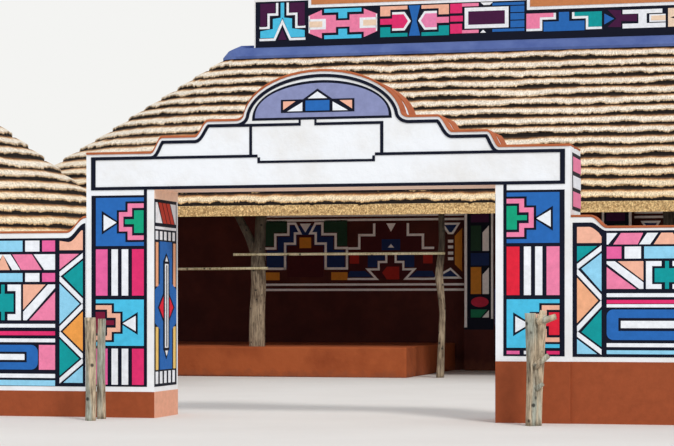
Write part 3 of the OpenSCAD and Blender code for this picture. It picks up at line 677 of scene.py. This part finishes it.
def double_arrow(wall):
    """A pink arrow with a head at each end, cream squares in the heads, and a cyan T above and below."""
    head = [(0, .062), (.134, .062), (.134, .168), (.41, .168), (.41, .27), (.67, .165)]
    wall.field(head + [(a, -b) for a, b in head[::-1]], "pink", sides=BOTH)
    wall.block(.33, .655, -.10, .10, "white", 0.009, BOTH)
    wall.block(.40, .655, -.055, .055, "cream", 0.012, BOTH)
    wall.block(.645, .67, -.16, .16, "white", 0.009, BOTH)
    for z in (1, -1):
        wall.block(-.364, .364, z * .216, z * .286, "cyan")
        wall.block(-.085, .085, z * .10, z * .216, "cyan")


def hexagons(wall):
    """Six-sided fields in white borders that point at an hourglass, with L's above and below."""
    wall.field([(.43, .175), (.19, .175), (.07, 0), (.19, -.175), (.43, -.175)], "white", sides=BOTH)
    for side, colour, edge in ((-1, "magenta", "magenta"), (1, "mauve", "pink")):
        wall.field([(.43, .13), (.21, .13), (.125, 0), (.21, -.13), (.43, -.13)], colour, 0.009, (side,))
        wall.block(.42, .66, -.055, .055, edge, 0.011, (side,))
    for z, colour in ((1, "peach"), (-1, "teal")):
        wall.field([(.66, z * .29), (.135, z * .29), (.135, z * .222), (.465, z * .222),
                    (.465, z * .105), (.66, z * .105)], colour, sides=BOTH)
    wall.field(whole([(.11, .29), (.04, 0), (.11, -.28)]), "blue")


def framed_pair(wall):
    """Pink hooks at one end, a purple block in a white border, and blue bands at the other end."""
    for z in (1, -1):
        wall.block(-.70, -.475, z * .10, z * .28, "magenta")
        wall.block(-.475, -.16, z * .22, z * .28, "pink")
        wall.block(.10, .70, z * .22, z * .27, "blue")
    wall.block(-.70, -.46, -.055, .05, "magenta")
    for z0, z1 in ((-.20, -.075), (-.055, .065), (.085, .20)):
        wall.block(.44, .70, z0, z1, "blue")
    wall.block(-.425, .405, -.195, .195, "white", 0.009)
    wall.block(-.355, .335, -.125, .125, "purple", 0.012)
    wall.field([(-.125, .285), (.11, .285), (.05, .235), (-.065, .235)], "white", 0.009)
    wall.field([(-.13, -.28), (-.02, -.28), (-.075, -.225)], "white", 0.009)


def hooks(wall):
    """Pink and teal hooks with white outlines on both sides of a blue T upside down."""
    for side, colour in ((-1, "pink"), (1, "teal")):
        for d, tint, depth in ((0.0, "white", COAT), (0.045, colour, 0.009)):
            wall.field([(.70, .16), (.15 + d, .16), (.15 + d, .04 + d), (.405 + d, .04 + d),
                        (.405 + d, -.165 + d), (.70, -.165 + d)], tint, depth, (side,))
    wall.field(whole([(.095, .17), (.095, 0), (.38, 0), (.38, -.18)]), "blue")


def arrow_and_frame(wall):
    """A blue triangle in a purple bow, a white I and a cream bar in a white outline."""
    wall.field([(-.50, .18), (-.25, .16), (-.25, .08), (.04, .08), (.04, -.05), (-.25, -.04),
                (-.25, -.15), (-.50, -.14), (-.34, .01)], "purple")
    wall.field([(-.56, .11), (-.56, -.09), (-.38, .01)], "blue")
    for x0, x1, z0, z1 in ((-.225, .50, .09, .165), (-.225, .56, -.175, -.09), (.065, .215, -.09, .09)):
        wall.block(x0, x1, z0, z1, "white")
    wall.block(.265, .56, -.072, .068, "white", 0.009)
    wall.block(.30, .56, -.045, .042, "cream", 0.012)


def diamond(wall):
    """A cream block with a long navy diamond and a blue one in it."""
    wall.block(-.58, .58, -.17, .17, "cream")
    wall.field([(-.54, 0), (0, .14), (.54, 0), (0, -.14)], "navy", 0.009)
    wall.field([(-.40, 0), (0, .09), (.40, 0), (0, -.09)], "blue", 0.012)


parapet_low, parapet_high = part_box("ridge_parapet")
PANELS = ((stepped_gable, -5.134, 6.645), (double_arrow, -3.945, 6.565), (hexagons, -2.555, 6.57),
          (framed_pair, -1.17, 6.585), (hooks, 0.27, 6.47), (arrow_and_frame, 1.575, 6.475),
          (diamond, 2.76, 6.475), (hexagons, 4.0, 6.48, 0.6), (stepped_gable, 5.16, 6.645))
BOARDS = ((-4.62, -0.445, 6.885), (-0.42, 4.62, 6.70))


def parapet_painting(wall):
    """Ground, panels and bare boards of one face of the parapet."""
    wall.block(parapet_low.x + 0.03, parapet_high.x - 0.03, 6.0, 7.03, "navy", THIN_COAT)
    for draw, *middle in PANELS:
        draw(wall.centre(*middle))
    wall.centre(0.0)
    for x0, x1, z0 in BOARDS:
        wall.block(x0, x1, z0, parapet_high.z - 0.05, "white", 0.010)
        wall.block(x0 + 0.06, x1 - 0.06, z0 + 0.06, parapet_high.z - 0.11, "board", 0.020)
    for x0, x1 in ((parapet_low.x, BOARDS[0][0]), (BOARDS[1][1], parapet_high.x)):
        wall.block(x0 + 0.06, x1 - 0.06, 7.09, parapet_high.z - 0.06, "white")


both_faces("parapet", parapet_low.y, parapet_high.y, parapet_painting)


# The painting under the roof.
# The wall under the ridge carries stepped lines, three-cornered fields and small blocks in dull
# colours between pale double lines; the piers beside the way in are stacks of blocks.
def arch_motif(wall):
    """A pale stepped line that doubles back over a navy arch, with blocks of ochre and moss."""
    wall.field([(.82, 2.78), (.37, 2.78), (.37, 2.55), (.63, 2.55), (.63, 2.29), (.82, 2.29)], "moss",
               sides=BOTH)
    wall.field(whole([(.30, 2.68), (.30, 2.47), (.55, 2.47), (.55, 2.21), (.77, 2.21), (.77, 1.86)]),
               "dusk")
    wall.field(whole([(.165, 2.50), (.165, 2.30), (.36, 2.30), (.36, 1.70)]), "wine_brown", 0.008)
    wall.line([(.40, 1.86), (.817, 1.86), (.817, 2.249), (.595, 2.249), (.595, 2.512), (.336, 2.512),
               (.336, 2.721), (.20, 2.721), (.10, 2.534), (.205, 2.534), (.205, 2.337), (.40, 2.337),
               (.40, 1.84)], "stone", depth=0.010, sides=BOTH)
    wall.block(-.115, .115, 2.25, 2.455, "ochre", 0.011)
    wall.tip(.11, 2.72, 2.55, "stone", 0.011)
    wall.block(.51, .83, 1.64, 1.79, "ochre", 0.011, BOTH)


def gable_motif(wall):
    """Pale stairs over a brick-red gable, and inside it stairs the other way with navy fields."""
    wall.field(whole([(.33, 2.76), (.33, 2.54), (.60, 2.54), (.60, 2.29), (.85, 2.29), (.85, 1.72)]),
               "wine_brown")
    wall.line([(.83, 2.29), (.615, 2.29), (.615, 2.54), (.325, 2.54), (.325, 2.76)], "stone",
              depth=0.010, sides=BOTH)
    wall.tip(.09, 2.76, 2.60, "stone", 0.010)
    wall.block(-.18, .18, 2.25, 2.46, "dusk", 0.008)
    wall.tip(.06, 2.30, 2.37, "stone", 0.010)
    wall.field([(.125, 2.21), (.45, 2.21), (.45, 1.93), (.27, 1.93), (.27, 2.06), (.125, 2.06)],
               "dusk", 0.008, BOTH)
    wall.block(.62, .80, 2.0, 2.21, "brick", 0.008, BOTH)
    wall.field([(.50, 1.86), (.80, 1.86), (.85, 1.75), (.36, 1.75)], "dusk", 0.008, BOTH)
    wall.line([(.09, 2.21), (.09, 2.03), (.238, 2.03), (.238, 1.89), (.45, 1.89), (.28, 1.71),
               (.85, 1.71)], "stone", 0.04, 0.010, BOTH)
    wall.field([(-.16, 1.94), (.08, 1.94), (.17, 1.83), (.08, 1.70), (-.16, 1.70)], "brick", 0.012)


def hourglass(wall):
    """A pale-edged navy field, four small bars and a navy foot, and a long ochre field beside them."""
    wall.field(whole([(.186, .53), (.05, .315)]), "stone", 0.008)
    wall.field(whole([(.12, .49), (.02, .35)]), "dusk", 0.010)
    for z in (.184, .075, -.04, -.145):
        wall.block(-.05, .05, z - .028, z + .028, "stone")
    wall.field([(-.22, .43), (-.22, -.385), (-.08, -.25), (-.08, .28)], "ochre")
    wall.field([(0, -.31), (-.22, -.52), (.36, -.52)], "stone", 0.008)
    wall.field([(0, -.36), (-.14, -.48), (.22, -.48)], "dusk", 0.010)


spine_low, spine_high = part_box("spine_wall")
pier_low, pier_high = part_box("middle_piers")
PIER_INNER = 0.985


def spine_painting(wall):
    """The pale double lines and the three motifs on both sides of the way in."""
    for z in (2.915, 2.83, 1.605, 1.505):
        wall.block(pier_high.x + 0.01, 5.52, z - 0.021, z + 0.021, "stone")
    hourglass(wall.centre(1.863, 2.23))
    gable_motif(wall.centre(3.007))
    arch_motif(wall.centre(4.68, 0.05))
    wall.mirrored()


def pier_painting(wall):
    """Stack of blocks, an oval and triangles on the front of each pier, between pale side lines."""
    x0, x1 = PIER_INNER, pier_high.x
    wall.block(x0 + .01, x1 - .01, 0.76, 3.24, "navy", THIN_COAT)
    wall.block(x0 + .02, x0 + .06, 0.96, 3.22, "stone")
    wall.block(x1 - .06, x1 - .01, 0.80, 3.22, "stone")
    a, m, b = x0 + .10, x0 + .235, x1 - .13
    for z0, z1, left, colour in ((2.75, 2.90, a, "purple"), (2.22, 2.69, m + .01, "moss"),
                                 (1.95, 2.18, a, "dusk"), (1.42, 1.92, m + .01, "ochre"),
                                 (2.97, 3.20, a, "moss")):
        wall.block(left, b, z0, z1, colour)
    for z0, z1 in ((2.22, 2.69), (1.42, 1.91)):
        wall.field([(a, z0), (m - .015, z0), (m - .015, z1 - .13), (a, z1)], "stone")
    turn = np.radians(np.linspace(0, 360, 24, endpoint=False))
    oval = np.stack([(a + b) / 2 + .165 * np.cos(turn), 1.272 + .095 * np.sin(turn)], -1)
    wall.field(oval, "crimson")
    wall.field([(b, 1.133), (a + .03, 1.133), (m + .02, 0.984), (b, 0.984)], "green_dark")
    wall.field([(a, 1.122), (a, 0.984), (m - .01, 0.984)], "stone")
    wall.mirrored()


paint_face("under_roof_painting_front", spine_low.y, -1, spine_painting)
paint_face("pier_painting_front", pier_low.y, -1, pier_painting)
paint_face("under_roof_painting_rear", spine_high.y, 1, spine_painting)
paint_face("pier_painting_rear", pier_high.y, 1, pier_painting)


# The thatch.
# Bundles of straw laid in stepped courses over each slope. Every course is one closed band with a
# ragged butt edge that hangs over the course below, on a closed bed that fills the slope's depth.
straw, add, place = new_material("straw_thatch")
lie = add("SeparateXYZ", {0: add("UVMap", uv_map="lie")}).outputs
along, course = lie["X"], lie["Y"]
depth = add("Math", {0: course}, operation="FRACT")


def stalks(per_metre, per_course, detail):
    """Noise stretched down the slope: stalks per metre along the course against its depth."""
    across = add("Math", {0: along, 1: per_metre}, operation="MULTIPLY")
    down = add("Math", {0: course, 1: per_course}, operation="MULTIPLY")
    way = add("CombineXYZ", {"X": across, "Y": down})
    return add("TexNoise", {"Vector": way, "Scale": 1.0, "Detail": detail, "Roughness": 0.65})


fine = stalks(55.0, 2.5, 4.0)
wide = stalks(9.0, 1.3, 3.0)
jags = add("MapRange", {0: stalks(20.0, 0.7, 2.0), 1: 0.25, 2: 0.75, 3: -0.035, 4: 0.035})
upper = add("Math", {0: depth, 1: jags})
# Straw colour down each course, from its butt at 0 to its top under the next course at 1. The near-black
# band at the butt's lowest edge and the browning towards the top are painted shade: the shadow line under
# each butt, and the shade that the course above casts.
tone = add("ValToRGB", {0: upper})
straw_and_painted_shade_stops = [(0.0, "#140800"), (0.048, "#1A0A02"), (0.075, "#F0CFA4"), (0.14, "#FFF3E2"),
         (0.40, "#FFF2E0"), (0.54, "#F2D2B0"), (0.65, "#C09060"), (0.76, "#74491F"),
         (0.90, "#38200C"), (1.0, "#140800")]
for share, code in straw_and_painted_shade_stops[1:-1]:
    tone.color_ramp.elements.new(share)
for element, (share, code) in zip(tone.color_ramp.elements, straw_and_painted_shade_stops):
    element.position = share
    element.color = linear(code)
under = add("Math", {0: course, 1: 0.0}, operation="LESS_THAN")
ends = add("TexNoise", {"Vector": place, "Scale": 34.0, "Detail": 5.0, "Roughness": 0.8})
spread = add("MapRange", {0: ends, 1: 0.30, 2: 0.66})
gold = add("Mix", {0: spread, 6: "#B87E3E", 7: "#FFEEC4"}, data_type="RGBA")
eave_tone = add("Mix", {0: under, 6: tone, 7: gold}, data_type="RGBA")
low = add("MapRange", {0: course, 1: 0.0, 2: 6.0})
aged = add("Mix", {0: low, 6: "#FFF0D2", 7: "#FFFCF6"}, data_type="RGBA")
straw_tone = add("VectorMath", {0: eave_tone, 1: aged}, operation="MULTIPLY")
for grain, low, high, dim, bright in ((fine, 0.30, 0.70, 0.62, 1.26), (wide, 0.30, 0.70, 0.86, 1.10),
                                      (ends, 0.36, 0.62, 0.50, 1.20)):
    shade = add("MapRange", {0: grain, 1: low, 2: high, 3: dim, 4: bright})
    straw_tone = add("VectorMath", {0: straw_tone, "Scale": shade}, operation="SCALE")
relief = add("Bump", {"Height": fine, "Strength": 0.6, "Distance": 0.02})
base = add("BsdfPrincipled", {"Base Color": straw_tone, "Roughness": 0.95, "Normal": relief})
add("OutputMaterial", {0: base})

noise = np.random.default_rng(7)


def ragged(columns, coarse, wrap):
    """Smooth random numbers from -1 to 1 over the columns, with one knot per coarse columns.
    They start and end at 0, or meet round a cone, so that two slopes join without a break."""
    knots = noise.uniform(-1, 1, max(columns // coarse, 2) + 1)
    if wrap:
        knots[-1] = knots[0]
    else:
        knots[0] = knots[-1] = 0
    at = np.linspace(0, len(knots) - 1, columns, endpoint=not wrap)
    return np.interp(at, np.arange(len(knots)), knots)


# Where each cross-section point of a course and of the bed lies on that ramp. The bed's top takes 0.95,
# the dark painted shade, where it shows between courses.
COURSE_F = np.array([1.05, 0.10, 0.0, 0.0, 0.0, 0.10, 0.45, 0.80, 1.05])
COURSE_LIFT = np.array([-0.13, -0.12, -0.052, -0.028, -0.004, -0.003, -0.016, -0.038, -0.070])
COURSE_V = np.array([0.99, 0.02, 0.01, 0.07, 0.13, 0.2, 0.45, 0.8, 0.99])
BED_V = np.array([-1.0, -0.8, -0.6, -0.4, -0.2, 0.95, 0.95, -1.0])


def thatched(name, roof, inner, length, columns, lay, wrap, *nodes):
    """One thatched slope of a roof. A point of course i at part f of its depth lies at
    r = run (1 - (i + f) / courses) and z = eave + (run - r)(ridge - eave) / run + lift;
    lay(s, r, z) puts it in place, s being metres along the eave."""
    run, eave, ridge, courses, thick = roof
    s = np.linspace(0, length, columns, endpoint=not wrap)
    slope = (ridge - eave) / run
    points, uvs, faces = [], [], []
    count = 0

    def sweep(r, z, v):
        """Closed body through one cross-section per column; r is (columns, k)."""
        nonlocal count
        r, z, v = np.broadcast_arrays(r, z, v)
        k = r.shape[1]
        grid = np.arange(columns * k).reshape(columns, k) + count
        after = np.roll(grid, -1, axis=0) if wrap else grid[1:]
        here = grid if wrap else grid[:-1]
        quads = np.stack([here, np.roll(here, -1, axis=1), np.roll(after, -1, axis=1), after], -1)
        faces.extend(quads.reshape(-1, 4).tolist())
        if not wrap:
            faces.append(grid[0][::-1].tolist())
            faces.append(grid[-1].tolist())
        points.append(lay(np.repeat(s, k), r.ravel(), z.ravel()))
        uvs.append(np.stack([np.repeat(s, k), v.ravel()], -1))
        count += columns * k

    bed_z = np.linspace(-thick, -0.075, 5)
    r = np.concatenate([np.full(5, run - 0.012), [run - 0.02, inner, inner]])
    z = np.concatenate([eave + bed_z, [eave - 0.071],
                        eave + (run - np.array([inner, inner])) * slope + (-0.075, -thick)])
    shaggy = np.stack([ragged(columns, 2, wrap) * 0.010 for _ in range(4)] +
                      [np.zeros(columns)] * 4, -1)
    sweep(r + shaggy, z, BED_V)
    for i in range(courses):
        top = min(1.05, courses * (1 - inner / run) - i)
        f = np.tile(np.minimum(COURSE_F, top), (columns, 1))
        lift = np.tile(COURSE_LIFT, (columns, 1))
        sway = ragged(columns, 26, wrap)
        tufts = ragged(columns, 2, wrap)
        clumps = ragged(columns, 7, wrap)
        for k, share in ((2, 1.0), (3, 0.85), (4, 0.6)):
            f[:, k] += 0.07 + share * (0.060 * tufts + 0.045 * clumps + 0.075 * sway)
        for k in range(2, 8):
            lift[:, k] += 0.010 * sway + 0.009 * clumps + 0.006 * ragged(columns, 2, wrap)
        lift[:, 2] -= 0.012 * np.abs(tufts)
        r = run * (1 - (i + f) / courses)
        sweep(r, eave + (run - r) * slope + lift, i + COURSE_V)
    made = mesh_object(name, np.concatenate(points), faces, straw, np.concatenate(uvs))
    return stand(made, "thatch", *nodes)


# Run, eave height, ridge height, number of courses and thickness of each kind of roof.
HUT_ROOF = (5.0, 2.96, 6.18, 16, 0.25)
RONDAVEL_ROOF = (3.55, 2.22, 4.85, 14, 0.17)
hut_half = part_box("thatch_front")[1].x
ridge_y = (spine_low.y + spine_high.y) / 2


def straight(side):
    """Lays points on the front (-1) or rear (1) slope."""
    return lambda s, r, z: np.stack([-side * (s - hut_half), ridge_y + side * r, z], -1)


def fanned(x, y, run, start):
    """Lays points round a cone whose axis is at x, y, from the angle start on."""
    def lay(s, r, z):
        turn = start + s / run
        return np.stack([x + r * np.cos(turn), y + r * np.sin(turn), z], -1)
    return lay


for side, name in ((-1, "front"), (1, "rear")):
    thatched("straw_" + name, HUT_ROOF, 0.15, 2 * hut_half, 420, straight(side), False, "thatch_" + name)
for side, name in ((-1, "left"), (1, "right")):
    run = HUT_ROOF[0]
    round_end = fanned(side * hut_half, ridge_y, run, -side * math.pi / 2)
    thatched("straw_%s_end" % name, HUT_ROOF, 0.02, math.pi * run, 340, round_end, False,
             "thatch_%s_end" % name)
    run = RONDAVEL_ROOF[0]
    low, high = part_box("rondavel_thatch_" + name)
    cone = fanned((low.x + high.x) / 2, (low.y + high.y) / 2, run, 0.0)
    thatched("straw_rondavel_" + name, RONDAVEL_ROOF, 0.05, 2 * math.pi * run, 400, cone, True,
             "rondavel_thatch_" + name)


# Round timber.
# Debarked poles and trunk posts, grey and silvered on the gate posts and browner under the roof,
# where the posts also darken towards the eave with painted shade: long cracks and knots along each
# stem, tied or notched together.
def timber(name, pale, dark, bleached=None, smoked=1.0):
    """Weathered round wood: fibres along Z, knots, and blotches that fade from pale to bleached;
    from 1.5 to 2.3 m above the ground its brightness falls to the share smoked, which is painted shade
    under the eave."""
    made, add, place = new_material(name)
    drawn = add("Mapping", {"Vector": place, "Scale": (27.0, 27.0, 3.0)})
    fibre = add("TexNoise", {"Vector": drawn, "Scale": 1.6, "Detail": 7.0, "Roughness": 0.7})
    blotch = add("TexNoise", {"Vector": place, "Scale": 2.6, "Detail": 4.0})
    blotch = add("Math", {0: blotch, 1: 0.35}, operation="MULTIPLY")
    both = add("Math", {0: fibre, 1: 0.65, 2: blotch}, operation="MULTIPLY_ADD")
    share = add("MapRange", {0: both, 1: 0.40, 2: 0.60})
    sides = add("TexNoise", {"Vector": drawn, "Scale": 0.3, "Detail": 2.0})
    faded = add("MapRange", {0: sides, 1: 0.44, 2: 0.58})
    weathered = add("Mix", {0: faded, 6: pale, 7: bleached or pale}, data_type="RGBA")
    tone = add("Mix", {0: share, 6: dark, 7: weathered}, data_type="RGBA")
    eyes = add("TexVoronoi", {"Vector": place, "Scale": 7.5})
    knots = add("MapRange", {0: eyes, 1: 0.10, 2: 0.20, 3: 0.12, 4: 1.0})
    height = add("SeparateXYZ", {0: place}).outputs["Z"]
    # Painted shade: brightness falls towards the eave, where the roof shades the posts.
    painted_eave_shade = add("MapRange", {0: height, 1: 1.5, 2: 2.3, 3: 1.0, 4: smoked})
    shade = add("Math", {0: knots, 1: painted_eave_shade}, operation="MULTIPLY")
    tone = add("VectorMath", {0: tone, "Scale": shade}, operation="SCALE")
    relief = add("Bump", {"Height": fibre, "Strength": 0.6, "Distance": 0.015})
    base = add("BsdfPrincipled", {"Base Color": tone, "Roughness": 0.85, "Normal": relief})
    add("OutputMaterial", {0: base})
    return made


silver_wood = timber("silvered_wood", "#D8C2A2", "#5A4C3A", "#B2B6A6")
# The posts under the roof carry painted eave shade above 1.5 m.
brown_wood = timber("brown_post_wood", "#B09C80", "#4A3828", smoked=0.22)
rail_wood = timber("stick_rail_wood", "#E6DBB8", "#A6966A")
dark_wood = timber("smoked_roof_poles", "#4A3523", "#21170F")
for name in ("veranda_posts_rear", "end_posts"):
    finish_node(name, brown_wood)
for name in ("eave_beams", "end_eave_beams", "rafters_front", "rafters_rear", "end_rafters",
             "rondavel_roof_frame_left", "rondavel_roof_frame_right"):
    finish_node(name, dark_wood)
finish_node("display_rails", rail_wood)


# Crooked trunk posts.
# The front posts that hold the eave beam and the grey posts of the pole gate are debarked trunks
# that lean, swell and fork, so each is drawn as stems that grow into one another.
def stem(way, radii, seed):
    """Closed stem along a line smoothed from the points of way. At turn t of a ring at length h, a
    point lies radius (1 + 0.08 sin(2 t + seed + 3 h) + 0.05 sin(3 t + 2 seed - 7 h)) off it."""
    way = np.array(way, dtype=float)
    chord = way[-1] - way[0]
    long = np.linalg.norm(chord)
    chord /= long
    aside = np.cross(chord, (0.0, 1.0, 0.0))
    aside /= np.linalg.norm(aside)
    ahead = np.cross(aside, chord)
    count, sides = max(int(long / 0.04), 5), 20
    u = np.linspace(0, 1, count)
    knots = np.linspace(0, 1, len(way))
    line = np.stack([np.interp(u, knots, way[:, k]) for k in range(3)], -1)
    for _ in range(4):
        line[1:-1] = (line[:-2] + line[1:-1] + line[2:]) / 3
    t = np.linspace(0, 2 * math.pi, sides, endpoint=False)
    h = (u * long)[:, None]
    swell = 1 + 0.08 * np.sin(2 * t + seed + 3 * h) + 0.05 * np.sin(3 * t + 2 * seed - 7 * h)
    reach = np.interp(u, knots, radii)[:, None] * swell
    points = (line[:, None] + (reach * np.cos(t))[..., None] * aside
              + (reach * np.sin(t))[..., None] * ahead)
    grid = np.arange(count * sides).reshape(count, sides)
    after = np.roll(grid, -1, axis=1)
    faces = np.stack([grid[:-1], after[:-1], after[1:], grid[1:]], -1).reshape(-1, 4).tolist()
    return points.reshape(-1, 3), faces + [grid[0][::-1].tolist(), grid[-1].tolist()]


def trunks(name, material, slot, stems, *nodes):
    """Stands stems, each a way and its radii, in for the plain posts of the nodes."""
    points, faces, count = [], [], 0
    for seed, (way, radii) in enumerate(stems):
        more, rings = stem(way, radii, 1.7 * seed)
        faces += [[i + count for i in face] for face in rings]
        points.append(more)
        count += len(more)
    stand(mesh_object(name, np.concatenate(points), faces, material, smooth=True), slot, *nodes)


def in_plane(y, *points):
    """Points given as x and z, at one depth y."""
    return [(x, y, z) for x, z in points]


low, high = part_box("veranda_posts_front")
line_y, foot, top = high.y - 0.14, low.z, high.z
trunks("front_trunks", brown_wood, "dark_wood", [
    (in_plane(line_y, (-4.46, foot), (-4.43, 1.3), (-4.42, 2.1), (-4.39, 2.4), (-4.36, top)),
     [.145, .12, .125, .095, .085]),
    (in_plane(line_y, (-4.44, 2.02), (-4.58, 2.36), (-4.87, top)), [.08, .068, .06]),
    (in_plane(line_y, (-1.26, foot), (-1.21, 1.1), (-1.275, 1.7), (-1.22, 2.3), (-1.24, top)),
     [.066, .056, .062, .052, .058]),
    (in_plane(line_y, (2.53, foot), (2.55, 1.5), (2.53, top)), [.11, .095, .085]),
    (in_plane(line_y, (5.90, foot), (5.87, 1.4), (5.90, top)), [.11, .10, .085])],
    "veranda_posts_front")
low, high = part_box("slot_posts_left")
x = (low.x + high.x) / 2
trunks("slot_trunks", silver_wood, "old_wood", [
    (in_plane(low.y + 0.055, (x, 0), (x + .012, .55), (x - .004, high.z)), [.058, .051, .056]),
    (in_plane(high.y - 0.045, (x, 0), (x - .01, .5), (x + .006, high.z - .015)), [.046, .042, .045])],
    "slot_posts_left")
low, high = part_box("pegged_post_right")
x, y = low.x + 0.085, (low.y + high.y) / 2
trunks("pegged_trunks", silver_wood, "old_wood", [
    (in_plane(y, (x - .016, 0), (x - .008, .65), (x - .012, .95), (x - .026, 1.135)),
     [.058, .051, .055, .056]),
    (in_plane(y + .03, (x + .050, 0), (x + .060, .45), (x + .075, .80), (x + .092, 1.12)),
     [.034, .040, .046, .052]),
    ([(x + .05, y, 1.045), (x + .13, y - .01, 1.062), (x + .235, y - .02, 1.102)], [.045, .036, .030]),
    (in_plane(y + .02, (x + .085, 1.08), (x + .10, 1.16)), [.04, .03]),
    ([(x + .02, y - .03, .60), (x + .09, y - .035, .645), (x + .165, y - .04, .712)],
     [.036, .030, .025]),
    ([(x + .03, y - .02, .375), (x + .075, y - .025, .40), (x + .112, y - .03, .425)],
     [.028, .022, .018])],
    "pegged_post_right")
roll_paint = plaster("blue_grey_roll_paint", "#5C6EA2", "#465890")
finish_node("ridge_roll", roll_paint, 0.02)
